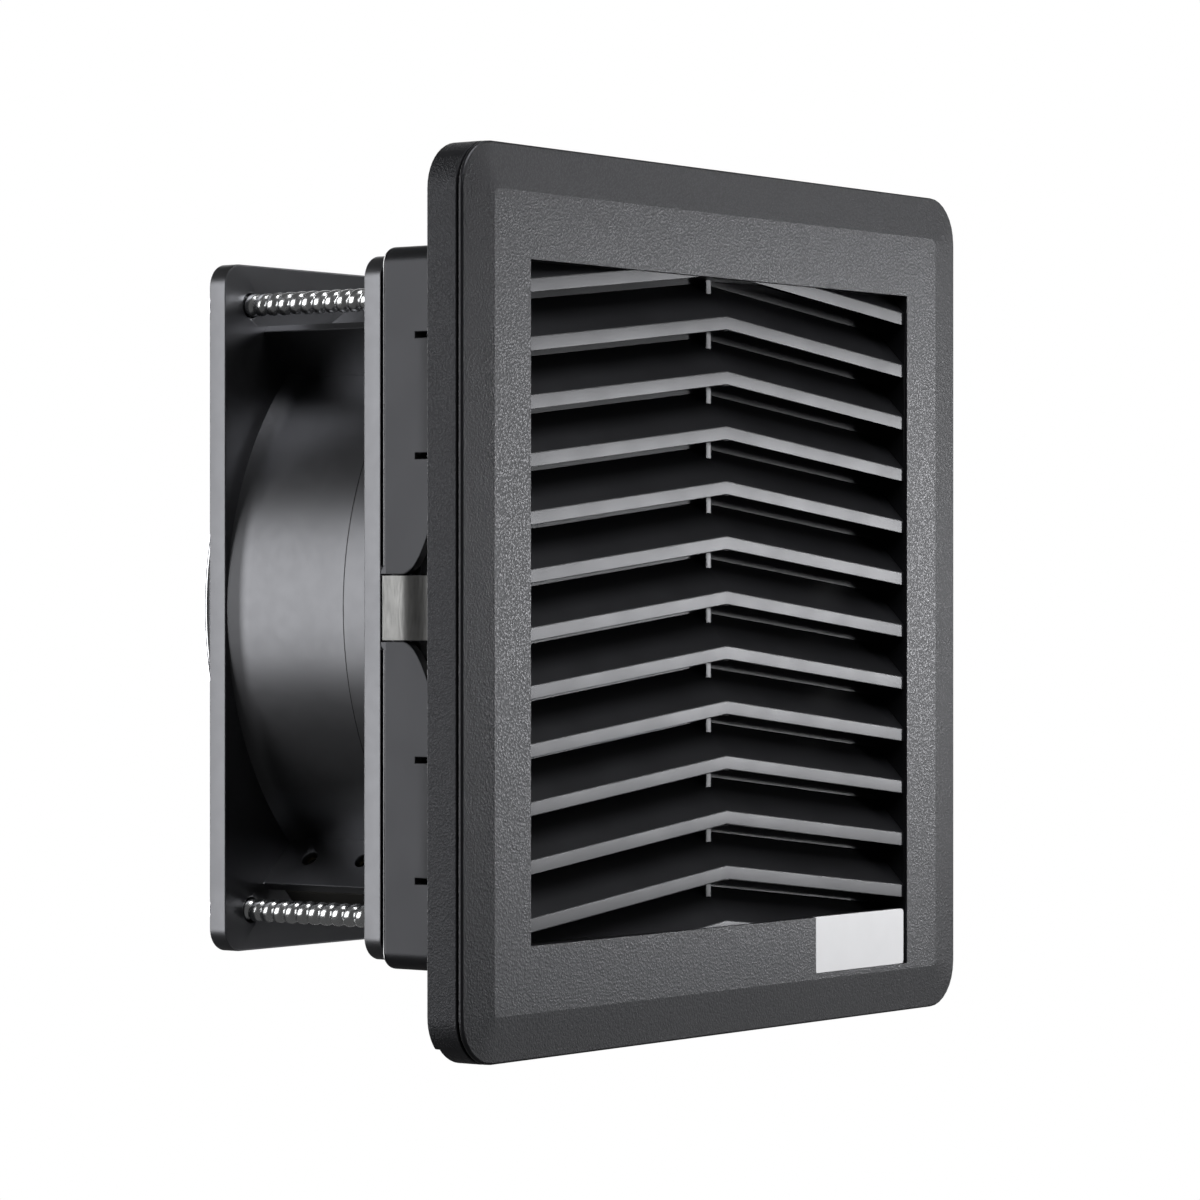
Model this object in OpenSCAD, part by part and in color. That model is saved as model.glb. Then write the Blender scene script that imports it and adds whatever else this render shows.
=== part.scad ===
// Cabinet filter fan: a snap-in frame with a louvred front, a filter mat and an axial fan.
// Millimetres. +Z is up and +Y points into the cabinet.
// The origin is on the fan axis, in the plane of the cabinet wall.

/* [Front grille] */
// Width and height of the front
front_size = 150.8; // [149:0.2:156]
// Corner radius of the front outline
front_radius = 8; // [4:0.5:10]
// Height of the front's centre above the fan axis
front_lift = 0.9; // [0.3:0.1:1.2]
// Distance from the cabinet wall to the flat front
front_depth = 8; // [7.8:0.1:9]
// Width and height of the flat inside the bevel
flat_size = 135.3; // [134:0.1:139]
// How far the bevel falls back at the outer edge
bevel_drop = 0.7; // [0.5:0.1:1]
// Rounding of the outer front edge
edge_round = 0.4; // [0.2:0.05:0.5]
// Thickness of the front wall
front_wall = 2; // [1.4:0.1:2.4]
// Width of the louvred opening
opening_w = 115.4; // [112:0.2:115.6]
// Height of the louvred opening
opening_h = 113; // [110:0.2:113.4]
// Wall of the skirt that plugs into the frame
skirt_wall = 1.5; // [1:0.1:2]

/* [Louvres] */
// Distance from one blade to the next
louvre_pitch = 9.6; // [9.2:0.1:11]
// Height of the first blade's apex above the front's centre
louvre_top = 59.6; // [57:0.1:61]
// Rise of a blade from its end to its apex
louvre_rise = 6.2; // [4:0.1:7]
// Height of the strip on a blade's front edge
strip_h = 2.3; // [1.8:0.1:2.6]
// Depth of the strips behind the flat front
strip_recess = 0.65; // [0.4:0.05:1]
// Depth of a blade from its strip to its rear lip
blade_run = 5.7; // [5:0.1:6]
// Slope of a blade
blade_slope = 46.5; // [42:0.5:50]
// Height of the rear lip above the sloped face
lip_h = 2.7; // [1:0.1:3.6]
// Thickness of the rear lip
lip_t = 1.2; // [0.8:0.1:1.3]
// Lean of the rear lip's front face
lip_lean = 6; // [0:1:10]
// Width of the upright rib in the middle
rib_w = 1.7; // [1.2:0.1:3]
// Depth of the rib's front edge behind the strips
rib_recess = 3.9; // [3:0.1:4.6]
// Width of the small nub under each apex
nub_w = 1.6; // [1:0.1:3]
// Height of the small nub under each apex
nub_h = 0.25; // [0.2:0.05:0.5]
// Depth of the small nub under each apex
nub_t = 1; // [0.5:0.1:1.5]

/* [Blank plate] */
// Width of the plate at the lower right
plate_w = 29.3; // [20:0.1:34]
// Height of the plate
plate_h = 10.1; // [7:0.1:10.4]
// Thickness of the plate
plate_t = 0.8; // [0.5:0.1:1]
// Slot between the plate and the end of its pocket
plate_slot = 1.1; // [0.3:0.1:1.2]
// Corner radius at the plate's right end
plate_radius = 0.7; // [0.4:0.1:2]

/* [Mounting frame] */
// Depth of the flange's side wall
flange_depth = 6; // [5.4:0.1:6.4]
// Thickness of the flange's side wall
flange_wall = 2; // [1.6:0.1:2.6]
// Thickness of the flange's floor
floor_t = 2.2; // [1.8:0.1:2.8]
// Width of the shadow gap between frame and grille
shadow_gap = 0.5; // [0.3:0.05:0.7]
// Step inside the shadow gap
shadow_step = 0.8; // [0.4:0.1:1.2]
// Width and height of the collar that goes through the wall
collar_size = 121.4; // [121:0.1:122.4]
// Corner radius of the collar
collar_radius = 3; // [2.5:0.1:5]
// Wall of the collar
collar_wall = 1.8; // [1.4:0.1:1.9]
// Distance from the cabinet wall to the rear face of the collar's rear wall
collar_depth = 20.3; // [19.6:0.1:22]
// How far the collar's rim stands behind its rear wall
collar_rim = 1.2; // [0.8:0.1:1.4]
// Rounding of the rim's outer edge
rim_round = 1.15; // [0.5:0.05:1.3]
// Height of the collar's lip in front of the cabinet wall
collar_lip = 5; // [3:0.1:5.3]
// Thickness of the collar's rear wall
rear_wall = 2.4; // [1.8:0.1:3]
// Distance from the collar's rear wall to the fan
fan_stand = 2.1; // [1.4:0.1:3]
// Width of the square cut-out that the collar fits
cutout_size = 124; // [123:0.1:125]
// Clearance of the collar's pads in the cut-out
cutout_gap = 0.2; // [0.1:0.05:0.4]
// Width of the slits beside the snap tongues
slit_w = 0.9; // [0.6:0.05:1.4]
// Height of the inner slit above the fan axis
slit_low = 25.4; // [20:0.1:30]
// Height of the outer slit above the fan axis
slit_high = 45.6; // [40:0.1:50]
// Where the slits end, behind the cabinet wall
slit_end = 14; // [11:0.1:15]
// How far a snap tongue's barb stands out past the cut-out
barb_reach = 1.2; // [0.6:0.1:2]
// Thickest wall that the barbs and clips hold
grip_max = 2.4; // [1.5:0.1:3]
// Depth of the pry recess in the lower rear edge
pry_depth = 0.9; // [0.5:0.1:1.2]
// Height of the pry recess
pry_h = 2.6; // [1.5:0.1:4]
// Diameter of the bosses that take the fan screws
boss_d = 9.6; // [8:0.1:11]

/* [Seal and filter] */
// Width of the gasket
gasket_w = 4; // [3:0.1:4.4]
// Depth of the gasket's groove
gasket_t = 1.2; // [0.8:0.1:1.4]
// Width and height of the filter mat
mat_size = 113.6; // [111:0.1:114]
// Thickness of the filter mat
mat_t = 14.2; // [10:0.1:14.4]
// Thickness of the support grid
grid_t = 3; // [2:0.1:3.2]
// Width of the support grid's bars
grid_bar = 1.8; // [1.4:0.1:2.4]
// Number of the support grid's spokes
grid_spokes = 12; // [8:1:16]
// Width of the support grid's outer ring
grid_rim = 3; // [2:0.1:4]
// Distance between the support grid's rings
grid_step = 11; // [8:0.5:14]

/* [Side clips] */
// Width of a spring clip
clip_w = 10.9; // [9:0.1:12]
// Thickness of the spring strip
clip_t = 0.8; // [0.6:0.05:0.9]
// How far the strip dips into the collar
clip_dip = 1.6; // [1:0.1:1.8]
// How far the strip's catch stands out past the cut-out
clip_reach = 1; // [0.6:0.1:1.4]
// Clearance of the strip in its slot
clip_gap = 0.15; // [0.1:0.05:0.3]
// Length of the slot's bell mouth
bell_run = 6.8; // [5:0.1:8]
// How far the bell mouth widens the slot at each side
bell_rise = 10.5; // [8:0.1:15]
// Distance from the collar's rear wall to the bell mouth
bell_set = 3.5; // [3:0.1:5]

/* [Fan] */
// Width and height of the fan's flanges
fan_size = 119; // [118.6:0.1:120]
// Depth of the fan
fan_depth = 38; // [37.6:0.1:39]
// Thickness of the fan's flanges
fan_flange = 3.66; // [2.6:0.02:4]
// Corner radius of the fan's flanges
fan_radius = 4; // [2:0.1:5]
// Distance between the fan's screws
screw_pitch = 105; // [104:0.1:105.6]
// Outside diameter of the duct
duct_d = 116; // [115.6:0.1:116.6]
// Inside diameter of the duct
bore_d = 113.6; // [112.8:0.1:114]
// Length of the flare at the duct's rear end
flare_l = 4.2; // [3:0.1:6]
// Growth of the duct's radius over the flare
flare_grow = 1.1; // [0.6:0.1:1.4]
// Length of the raised band at the duct's front end
band_l = 5.6; // [3:0.1:8]
// Height of the raised band
band_h = 0.25; // [0.15:0.05:0.5]
// Distance from the fan's axis to the end of a corner web
web_reach = 68.8; // [67:0.1:70]
// Thickness of the corner webs
web_t = 1.8; // [1.4:0.1:2.6]
// Diameter of the two lead holes
lead_hole_d = 2.8; // [2:0.1:3.2]
// Distance between the two lead holes
lead_pitch = 11.8; // [8:0.1:13]
// Distance from the fan's axis to the lead holes
lead_reach = 62.6; // [62:0.1:64]
// Thickness of the block that holds the contacts
block_t = 5; // [4:0.1:6]
// Width of the struts that carry the motor
strut_w = 6; // [4:0.1:8]
// Depth of the struts
strut_t = 4; // [3:0.1:5]

/* [Motor] */
// Diameter of the motor's base
base_d = 68; // [64:0.5:72]
// Thickness of the motor's base
base_t = 4.5; // [3.5:0.1:5]
// Diameter of the shaft
shaft_d = 4; // [3:0.1:5]
// Running clearance of the shaft in its bearings
shaft_gap = 0.03; // [0.02:0.01:0.08]
// Outside diameter of a ball bearing
bearing_d = 13; // [11:0.1:14]
// Width of a ball bearing
bearing_w = 5; // [4:0.1:5.4]
// Outside diameter of the bearing tube
tube_d = 17; // [16:0.1:18]
// Diameter of the stator
stator_d = 44; // [42:0.1:46]
// Length of the stator's stack
stack_l = 11; // [8:0.1:12]
// Air gap between the stator and the rotor
air_gap = 0.4; // [0.3:0.05:0.6]
// Thickness of the insulators on the stator's ends
insulator_t = 0.8; // [0.5:0.1:1]
// Thickness of the coils
coil_t = 3.2; // [2:0.1:3.4]
// Outside diameter of the rotor cup
cup_d = 62; // [60:0.1:64]
// Wall of the rotor cup
cup_wall = 1.2; // [0.8:0.1:1.5]
// Depth of the rotor cup
cup_l = 24; // [23:0.1:25]

/* [Impeller] */
// Wall of the impeller's hub
hub_wall = 2.4; // [1.8:0.1:3]
// Thickness of the hub's front
hub_front = 1.6; // [1.2:0.1:2.5]
// Distance from the fan's front to the hub's front
hub_set = 4.4; // [3.5:0.1:5]
// Number of blades
blade_count = 5; // [3:1:7]
// Gap between the blade tips and the duct
tip_gap = 1.3; // [0.8:0.1:2]
// Length of a blade along the duct at its root
blade_root_l = 21; // [16:0.1:22]
// Length of a blade along the duct at its tip
blade_tip_l = 18; // [14:0.1:21]
// Angle of a blade to the plane of rotation at its root
root_pitch = 46; // [40:1:56]
// Angle of a blade to the plane of rotation at its tip
tip_pitch = 28; // [24:1:36]
// Thickness of a blade at its root
blade_root_t = 2.6; // [1.8:0.1:3.2]
// Thickness of a blade at its tip
blade_tip_t = 1.5; // [1:0.1:2.2]
// Hollow of a blade's curve, as a share of its chord
blade_camber = 0.07; // [0.03:0.01:0.1]
// How far a blade's tip leads its root, in degrees
blade_sweep = 9; // [0:1:16]

/* [Guard and screws] */
// Diameter of the guard's wire
wire_d = 1.8; // [1.4:0.1:2.2]
// Distance from the fan's rear to the outside of the guard
guard_h = 5.7; // [5.2:0.1:7]
// Radius of the guard's outer ring
guard_ring_r = 54; // [50:0.5:56]
// Distance between the guard's rings
guard_pitch = 10; // [8:0.5:12]
// Number of the guard's rings
guard_rings = 5; // [3:1:5]
// Diameter of the fan screws
screw_d = 4; // [3.5:0.1:4]
// Clearance of the screws in their holes
screw_gap = 0.15; // [0.1:0.05:0.3]
// How far the fan screws reach into the frame's bosses
screw_grip = 5.2; // [4:0.1:6]
// Diameter of the screw heads
head_d = 7.4; // [6.6:0.1:8]
// Height of the screw heads
head_h = 2.4; // [1.8:0.1:3]

/* [Hidden] */

// Facets of a full circle
$fn = 64;
// Overlap that joins the shapes of one piece, and runs cuts past a face
eps = 0.1;
// Gap between pieces that lift apart
lift_gap = 0.3;
// Gap across the ends of parts that turn
end_gap = 0.15;
// Thickness of a layer that only shapes a hull
layer_t = 0.01;
// Thinnest radius that a hollowed corner keeps
corner_min = 0.5;

// Colours
black_plastic = [0.17, 0.17, 0.18];
black_paint = [0.13, 0.13, 0.14];
dark_plastic = [0.09, 0.09, 0.1];
chrome = [0.82, 0.83, 0.85];
spring_steel = [0.72, 0.72, 0.72];
lamination = [0.45, 0.46, 0.48];
copper = [0.72, 0.42, 0.22];
brass = [0.8, 0.66, 0.32];
white_fibre = [0.93, 0.93, 0.91];
foam = [0.07, 0.07, 0.08];
white_plate = [0.96, 0.96, 0.98];
cream_plastic = [0.85, 0.82, 0.72];

// Planes across the part, along Y
front_y = -front_depth;
rim_y = front_y + bevel_drop;
flange_y = -flange_depth;
rim_rear_y = flange_y - shadow_gap;
strip_y = front_y + strip_recess;
lip_y = strip_y + blade_run;
louvre_rear_y = lip_y + lip_t;
fan_y = collar_depth + fan_stand;
fan_rear_y = fan_y + fan_depth;
flange_in_y = fan_y + fan_flange;
flange_out_y = fan_rear_y - fan_flange;
collar_end_y = collar_depth + collar_rim;
rear_wall_y = collar_depth - rear_wall;
grid_y = rear_wall_y - grid_t;
mat_y = grid_y - lift_gap - mat_t;

// The front and its opening
half_front = front_size / 2;
half_opening = opening_w / 2;
opening_low = front_lift - opening_h / 2;
flat_radius = 1;
collar_in = collar_size - 2 * collar_wall;
plug_size = collar_in - 2 * lift_gap;
skirt_size = front_size - 2 * flange_wall - 2 * lift_gap;
skirt_radius = front_radius - flange_wall;
skirt_notch_w = 14;
skirt_notch_gap = 1.2;
skirt_notch_l = 3.5;
plug_radius = collar_radius - collar_wall;
plate_x = half_opening - plate_slot - plate_w;

// The louvres
chevron_angle = atan(louvre_rise / half_opening);
blade_climb = blade_run * tan(blade_slope);
lip_climb = (blade_run + lip_t) * tan(blade_slope);
lip_back = lip_h * tan(lip_lean);
louvre_count = 1 + floor((louvre_top + opening_h / 2) / louvre_pitch);
mitre_over = 4;
blade_l = (half_opening + 2 * mitre_over) / cos(chevron_angle);

// The frame
half_collar = collar_size / 2;
screw_at = screw_pitch / 2;
boss_y = grid_y;
boss_floor = 1.2;
screw_bore_r = screw_d / 2 + screw_gap;
spigot_gap = 0.2;
spigot_r = bore_d / 2 + spigot_gap;
spigot_wall = 1.2;
rim_waste_t = 0.5;
rim_turn = 15;
barb_y = grip_max;
barb_ramp = 8;
barb_drop = 0.6;
pad_w = 12;
pad_l = 3;
pad_t = 2;
pad_x = screw_at - boss_d - pad_t / 2;
pad_z = cutout_size / 2 - cutout_gap;
tongue_mid = (slit_low + slit_high) / 2;
tongue_w = slit_high - slit_low - slit_w;
slit_start = 1;
gasket_size = (front_size + collar_size) / 2 + gasket_w;
mat_radius = 2;
grid_r = spigot_r + spigot_wall + spigot_gap;

// The clips
slot_half = clip_w / 2 + clip_gap;
bell_y = collar_depth - bell_set;
bell_half = slot_half + bell_rise;
bell_steps = 15;
guide_w = 1.5;
clip_x = half_collar;
clip_rear_y = collar_depth + clip_t;
clip_fold = collar_wall + lift_gap;
clip_flat_l = 3;
clip_flat_y = collar_depth - clip_flat_l;
clip_dip_l = 5.1;
clip_dip_y = bell_y - clip_dip_l;
clip_catch_set = 0.6;
clip_catch_y = grip_max + clip_catch_set;
clip_tip_set = 0.7;
clip_tip_y = slit_start + clip_tip_set;
clip_out = cutout_size / 2 + clip_reach - half_collar;
clip_steps = 28;

// The fan
bore_r = bore_d / 2;
duct_r = duct_d / 2;
web_sink = 0.6;
lead_turn = 135;
lead_set = 2.7;
lead_y = (flange_in_y + flange_out_y) / 2 + lead_set;
block_radius = 1.2;
block_gap = 1;
block_in = duct_r + band_h + block_gap;
block_margin = 3.6;
block_half = lead_pitch / 2 + block_margin;
pin_d = 1.8;
pin_set = 1.2;
pin_tail = 2.5;
strut_sink = 0.3;
strut_end = bore_r + flare_grow + strut_sink;

// The motor, measured from the fan's rear face
base_y = fan_rear_y - base_t;
base_r = base_d / 2;
bearing_r = bearing_d / 2;
tube_r = tube_d / 2;
shaft_r = shaft_d / 2;
base_chamfer = 1;
clip_ring_t = 0.6;
clip_ring_w = 1.5;
groove_depth = 0.4;
groove_land = 0.6;
shaft_set = 1;
shaft_chamfer = 0.3;
shaft_end_y = fan_rear_y - shaft_set;
ring_groove_y = shaft_end_y - groove_land - clip_ring_t;
rear_bearing_y = ring_groove_y - end_gap - bearing_w;
cup_y = fan_y + hub_set + hub_front;
cup_r = cup_d / 2;
cup_end_y = cup_y + cup_l;
cup_bend = 1.5;
cup_boss_wall = 2.5;
cup_boss_r = shaft_r + cup_boss_wall;
cup_boss_l = 4.4;
front_bearing_y = cup_y + cup_wall + cup_boss_l + end_gap;
race_share = 0.3;
shield_dish = 0.4;
washer_t = 0.6;
washer_gap = 0.1;
washer_over = 0.6;
washer_y = front_bearing_y + bearing_w;
shoulder_y = washer_y + washer_t;
shoulder_h = 1.2;
shoulder_r = bearing_r - shoulder_h;
tube_over = 1;
tube_y = front_bearing_y - tube_over;
stack_mid = (tube_y + base_y) / 2;
stack_y = stack_mid - stack_l / 2;
stack_end_y = stack_mid + stack_l / 2;
stator_r = stator_d / 2;
neck_w = 9;
yoke_w = 3;
yoke_r = tube_r + yoke_w;
shoe_t = 2.8;
shoe_gap = 3;
coil_in_gap = 0.5;
coil_in_x = yoke_r + coil_in_gap;
coil_half = neck_w / 2 + coil_t;
coil_out_gap = 0.2;
coil_out_x = sqrt(pow(stator_r - shoe_t, 2) - pow(coil_half, 2)) - coil_out_gap;

// The impeller
hub_r = cup_r + hub_wall;
tip_r = bore_r - tip_gap;
blade_mid_y = cup_y + cup_l / 2;
hub_round = 1.2;
root_sink = 0.8;
blade_root_r = hub_r - root_sink;
blade_stations = 6;
blade_points = 8;

// The guard and the screws
wire_r = wire_d / 2;
eye_r = screw_bore_r + wire_r;
eye_y = fan_rear_y + wire_r;
ring_y = fan_rear_y + guard_h - wire_r;
leg_grow = 0.2;
weld_sink = 0.3;
leg_d = wire_d + leg_grow;
leg_y = ring_y - (wire_d + leg_d) / 2 + weld_sink;
eye_centre_r = screw_at * sqrt(2);
leg_eye_r = eye_centre_r - eye_r - weld_sink * wire_r;
leg_bend_r = (guard_ring_r + leg_eye_r) / 2;
leg_end_r = guard_ring_r - guard_pitch * (guard_rings - 1) - wire_d;
head_y = fan_rear_y + wire_d;
screw_tip_y = fan_y - screw_grip;
screw_point_l = 0.8;
screw_point_cut = 0.6;

// A slab from one Y to another, drawn in X and Z
module slab(from_y, to_y) {
    translate([0, to_y, 0])
        rotate([90, 0, 0])
            linear_extrude(height = to_y - from_y)
                children();
}

// A shape turned about the Y axis, drawn as radius and Y
module turned() {
    rotate([-90, 0, 0])
        rotate_extrude($fn = 96)
            children();
}

// A box between two corners
module box(low, high) {
    translate(low)
        cube(high - low);
}

// A square with round corners, centred
module round_square(size, radius) {
    square([size, size - 2 * radius], center = true);
    square([size - 2 * radius, size], center = true);
    for (x = [-1, 1], z = [-1, 1])
        translate([x, z] * (size / 2 - radius))
            circle(r = radius);
}

// A square ring with round corners
module square_ring(size, radius, wall) {
    difference() {
        round_square(size, radius);
        round_square(size - 2 * wall, max(radius - wall, corner_min));
    }
}

// A round ring
module round_ring(outer, inner) {
    difference() {
        circle(r = outer);
        circle(r = inner);
    }
}

// Its children, lifted to the centre of the front
module at_front() {
    translate([0, front_lift])
        children();
}

// Its children at the four screws
module at_screws() {
    for (x = [-1, 1], z = [-1, 1])
        translate([x * screw_at, 0, z * screw_at])
            children();
}

// A round bar between two points
module bar(start, end, diameter) {
    run = end - start;
    length = norm(run);
    translate(start)
        rotate([0, acos(run[2] / length), atan2(run[1], run[0])])
            cylinder(h = length, d = diameter);
}

// One layer of the front, as part of its hull
module front_layer(y, size, radius) {
    slab(y, y + layer_t)
        at_front()
            round_square(size, radius, $fn = 32);
}

// The bevelled front before it is hollowed
module front_block() {
    hull() {
        front_layer(rim_rear_y - layer_t, front_size, front_radius);
        for (turn = [0 : 30 : 90]) {
            inset = edge_round * (1 - cos(turn));
            front_layer(rim_y + edge_round * (1 - sin(turn)), front_size - 2 * inset, front_radius - inset);
        }
        front_layer(front_y, flat_size, flat_radius);
    }
}

// The skirt, with notches that free a tongue in the middle of each side
module skirt() {
    difference() {
        slab(front_y + front_wall - eps, -floor_t)
            at_front()
                square_ring(skirt_size, skirt_radius, skirt_wall);
        for (turn = [0, 90], side = [-1, 1])
            translate([0, -floor_t, front_lift])
                rotate([0, turn, 0])
                    translate([side * (skirt_notch_w + skirt_notch_gap) / 2, 0, 0])
                        cube([skirt_notch_gap, 2 * skirt_notch_l, front_size], center = true);
    }
}

// Half of the chevron blades, to the right of the rib
module blades_half() {
    strip_top = [strip_y, 0];
    strip_low = [strip_y, -strip_h];
    intersection() {
        box([0, front_y, opening_low - eps], [half_opening + eps, 0, opening_low + opening_h + eps]);
        for (k = [0 : louvre_count - 1])
            translate([0, 0, front_lift + louvre_top - k * louvre_pitch])
                rotate([0, chevron_angle, 0])
                    translate([-mitre_over, 0, 0])
                        rotate([90, 0, 90])
                            linear_extrude(height = blade_l)
                                polygon([strip_top, strip_low,
                                    [louvre_rear_y, lip_climb - strip_h],
                                    [louvre_rear_y, blade_climb + lip_h],
                                    [lip_y + lip_back, blade_climb + lip_h], [lip_y, blade_climb]]);
    }
}

// The upright rib and the nubs under the apexes
module louvre_rib() {
    box([-rib_w / 2, strip_y + rib_recess, opening_low - eps],
        [rib_w / 2, louvre_rear_y, opening_low + opening_h + eps]);
    for (k = [1 : louvre_count - 2])
        translate([0, 0, front_lift + louvre_top - k * louvre_pitch - strip_h])
            box([-nub_w / 2, strip_y, -nub_h], [nub_w / 2, strip_y + nub_t, 2 * nub_h]);
}

// The louvres, trimmed by the plug that holds them
module louvres() {
    intersection() {
        union() {
            blades_half();
            mirror([1, 0, 0])
                blades_half();
            louvre_rib();
        }
        slab(front_y, 0)
            round_square(plug_size, plug_radius);
    }
}

// The bevelled front, its skirt, and the plug that holds the louvres
module front_grille() {
    color(black_plastic)
        union() {
            difference() {
                union() {
                    front_block();
                    slab(rim_rear_y - eps, front_y + front_wall)
                        at_front()
                            round_square(skirt_size, skirt_radius);
                    slab(front_y + front_wall - eps, louvre_rear_y)
                        round_square(plug_size, plug_radius);
                    skirt();
                }
                slab(front_y - eps, 0)
                    at_front()
                        square([opening_w, opening_h], center = true);
                box([plate_x, front_y - eps, opening_low - plate_h],
                    [half_opening, front_y + plate_t, opening_low + eps]);
            }
            louvres();
        }
}

// The bare plate in its pocket at the lower right
module blank_plate() {
    color(white_plate)
        slab(front_y, front_y + plate_t)
            translate([plate_x, opening_low - plate_h])
                union() {
                    square([plate_w - plate_radius, plate_h]);
                    translate([0, plate_radius])
                        square([plate_w, plate_h - 2 * plate_radius]);
                    for (z = [plate_radius, plate_h - plate_radius])
                        translate([plate_w - plate_radius, z])
                            circle(r = plate_radius);
                }
}

// The flange: its floor, side wall, shadow step, gasket groove and pry recess
module frame_flange() {
    difference() {
        union() {
            slab(-floor_t, 0)
                at_front()
                    round_square(front_size, front_radius);
            slab(flange_y, 0)
                at_front()
                    square_ring(front_size, front_radius, flange_wall);
            slab(flange_y - 0.5 * shadow_gap, 0)
                at_front()
                    square_ring(front_size - 2 * shadow_step, front_radius - shadow_step,
                        flange_wall - shadow_step);
        }
        slab(-gasket_t, eps)
            at_front()
                square_ring(gasket_size, front_radius, gasket_w);
        box([-half_front, -pry_depth, front_lift - half_front - eps],
            [half_front, eps, front_lift - half_front + pry_h]);
        slab(-floor_t - eps, eps)
            round_square(collar_in, plug_radius);
    }
}

// The collar, its rear wall with the air inlet, and the pads that centre it
module frame_collar() {
    slab(-collar_lip, collar_end_y)
        square_ring(collar_size, collar_radius, collar_wall);
    slab(rear_wall_y, collar_depth)
        difference() {
            round_square(collar_size, collar_radius);
            circle(r = spigot_r);
        }
    slab(rear_wall_y, fan_y)
        round_ring(spigot_r + spigot_wall, spigot_r);
    for (x = [-1, 1], z = [-1, 1])
        translate([x * pad_x, pad_l / 2, z * (pad_z - pad_t / 2)])
            cube([pad_w, pad_l, pad_t], center = true);
}

// What is cut from the rim's outer edge, drawn as distance outward and Y
module rim_waste(outer) {
    round_y = collar_end_y - rim_round;
    arc = [for (turn = [0 : rim_turn : 90])
        [outer - rim_round * (1 - cos(turn)), round_y + rim_round * sin(turn)]];
    polygon(concat(arc, [[outer - rim_round, collar_end_y + rim_waste_t],
        [outer + rim_waste_t, collar_end_y + rim_waste_t], [outer + rim_waste_t, round_y]]));
}

// Cuts that round the outer edge of the collar's rim, along its sides and round its corners
module rim_cuts() {
    straight = half_collar - collar_radius;
    for (turn = [0 : 90 : 270])
        rotate([0, turn, 0]) {
            translate([0, 0, -straight])
                linear_extrude(height = 2 * straight)
                    rim_waste(half_collar);
            translate([straight, 0, straight])
                intersection() {
                    turned()
                        rim_waste(collar_radius);
                    box([0, rear_wall_y, 0], [2 * collar_radius, fan_y, 2 * collar_radius]);
                }
        }
}

// Cuts in one side of the collar, for the clip and the snap tongues
module side_cuts() {
    depth = collar_wall + 2 * eps;
    mouth = [for (k = [0 : bell_steps])
        [bell_y - bell_run * k / bell_steps, slot_half + bell_rise * pow(k / bell_steps, 2)]];
    far_side = [for (k = [len(mouth) - 1 : -1 : 0]) [mouth[k][0], -mouth[k][1]]];
    translate([half_collar - depth, 0, 0])
        rotate([90, 0, 90])
            linear_extrude(height = depth + eps)
                union() {
                    translate([slit_start, -bell_half])
                        square([bell_y - bell_run - slit_start + eps, 2 * bell_half]);
                    translate([slit_start, -slot_half])
                        square([collar_end_y, 2 * slot_half]);
                    polygon(concat(mouth, far_side));
                    for (side = [-1, 1], z = [slit_low, slit_high])
                        translate([slit_start, side * z - slit_w / 2])
                            square([slit_end - slit_start, slit_w]);
                }
}

// What stands out on one side of the collar: the barbs, and the square ends of the rim beside the clip
module side_stops() {
    top = cutout_size / 2 + barb_reach;
    for (side = [-1, 1]) {
        translate([0, 0, side * tongue_mid - tongue_w / 2])
            linear_extrude(height = tongue_w)
                polygon([[half_collar - eps, barb_y - barb_drop], [top, barb_y],
                    [half_collar - eps, barb_y + barb_ramp]]);
        translate([half_collar - collar_wall, collar_depth - eps,
            side * (slot_half + guide_w / 2) - guide_w / 2])
            cube([collar_wall, collar_rim + eps, guide_w]);
    }
}

// A boss for one fan screw
module screw_boss() {
    slab(boss_y, fan_y)
        circle(d = boss_d);
}

// The snap-in frame that sits in the cabinet wall
module mounting_frame() {
    color(black_plastic)
        difference() {
            union() {
                difference() {
                    union() {
                        frame_flange();
                        frame_collar();
                    }
                    side_cuts();
                    mirror([1, 0, 0])
                        side_cuts();
                    rim_cuts();
                }
                side_stops();
                mirror([1, 0, 0])
                    side_stops();
                at_screws()
                    screw_boss();
            }
            at_screws()
                slab(boss_y + boss_floor, fan_y + eps)
                    circle(r = screw_bore_r);
        }
}

// The foam gasket in the flange's rear groove
module panel_gasket() {
    color(foam)
        slab(-gasket_t, 0)
            at_front()
                square_ring(gasket_size, front_radius, gasket_w);
}

// The filter mat between the louvres and the support grid
module filter_mat() {
    color(white_fibre)
        slab(mat_y, mat_y + mat_t)
            round_square(mat_size, mat_radius);
}

// The grid that carries the mat in front of the fan's inlet
module support_grid() {
    spoke_start = grid_step - grid_bar;
    color(black_plastic)
        slab(grid_y, rear_wall_y)
            union() {
                round_ring(grid_r, grid_r - grid_rim);
                for (r = [grid_r - grid_rim - grid_step : -grid_step : grid_step])
                    round_ring(r, r - grid_bar);
                for (k = [0 : grid_spokes - 1])
                    rotate(k * 360 / grid_spokes)
                        translate([spoke_start, -grid_bar / 2])
                            square([grid_r - grid_rim / 2 - spoke_start, grid_bar]);
            }
}

// A flange of the fan
module fan_plate(from_y, to_y, hole_r) {
    slab(from_y, to_y)
        difference() {
            round_square(fan_size, fan_radius);
            circle(r = hole_r);
        }
}

// The duct between the flanges: round, with a band in front and a flare behind
module duct_shell() {
    flare_y = flange_out_y - flare_l;
    turned()
        polygon([[bore_r, flange_in_y - eps], [duct_r + band_h, flange_in_y - eps],
            [duct_r + band_h, flange_in_y + band_l], [duct_r, flange_in_y + band_l], [duct_r, flare_y],
            [duct_r + flare_grow, flange_out_y + eps], [bore_r + flare_grow, flange_out_y + eps],
            [bore_r, flare_y]]);
}

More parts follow.
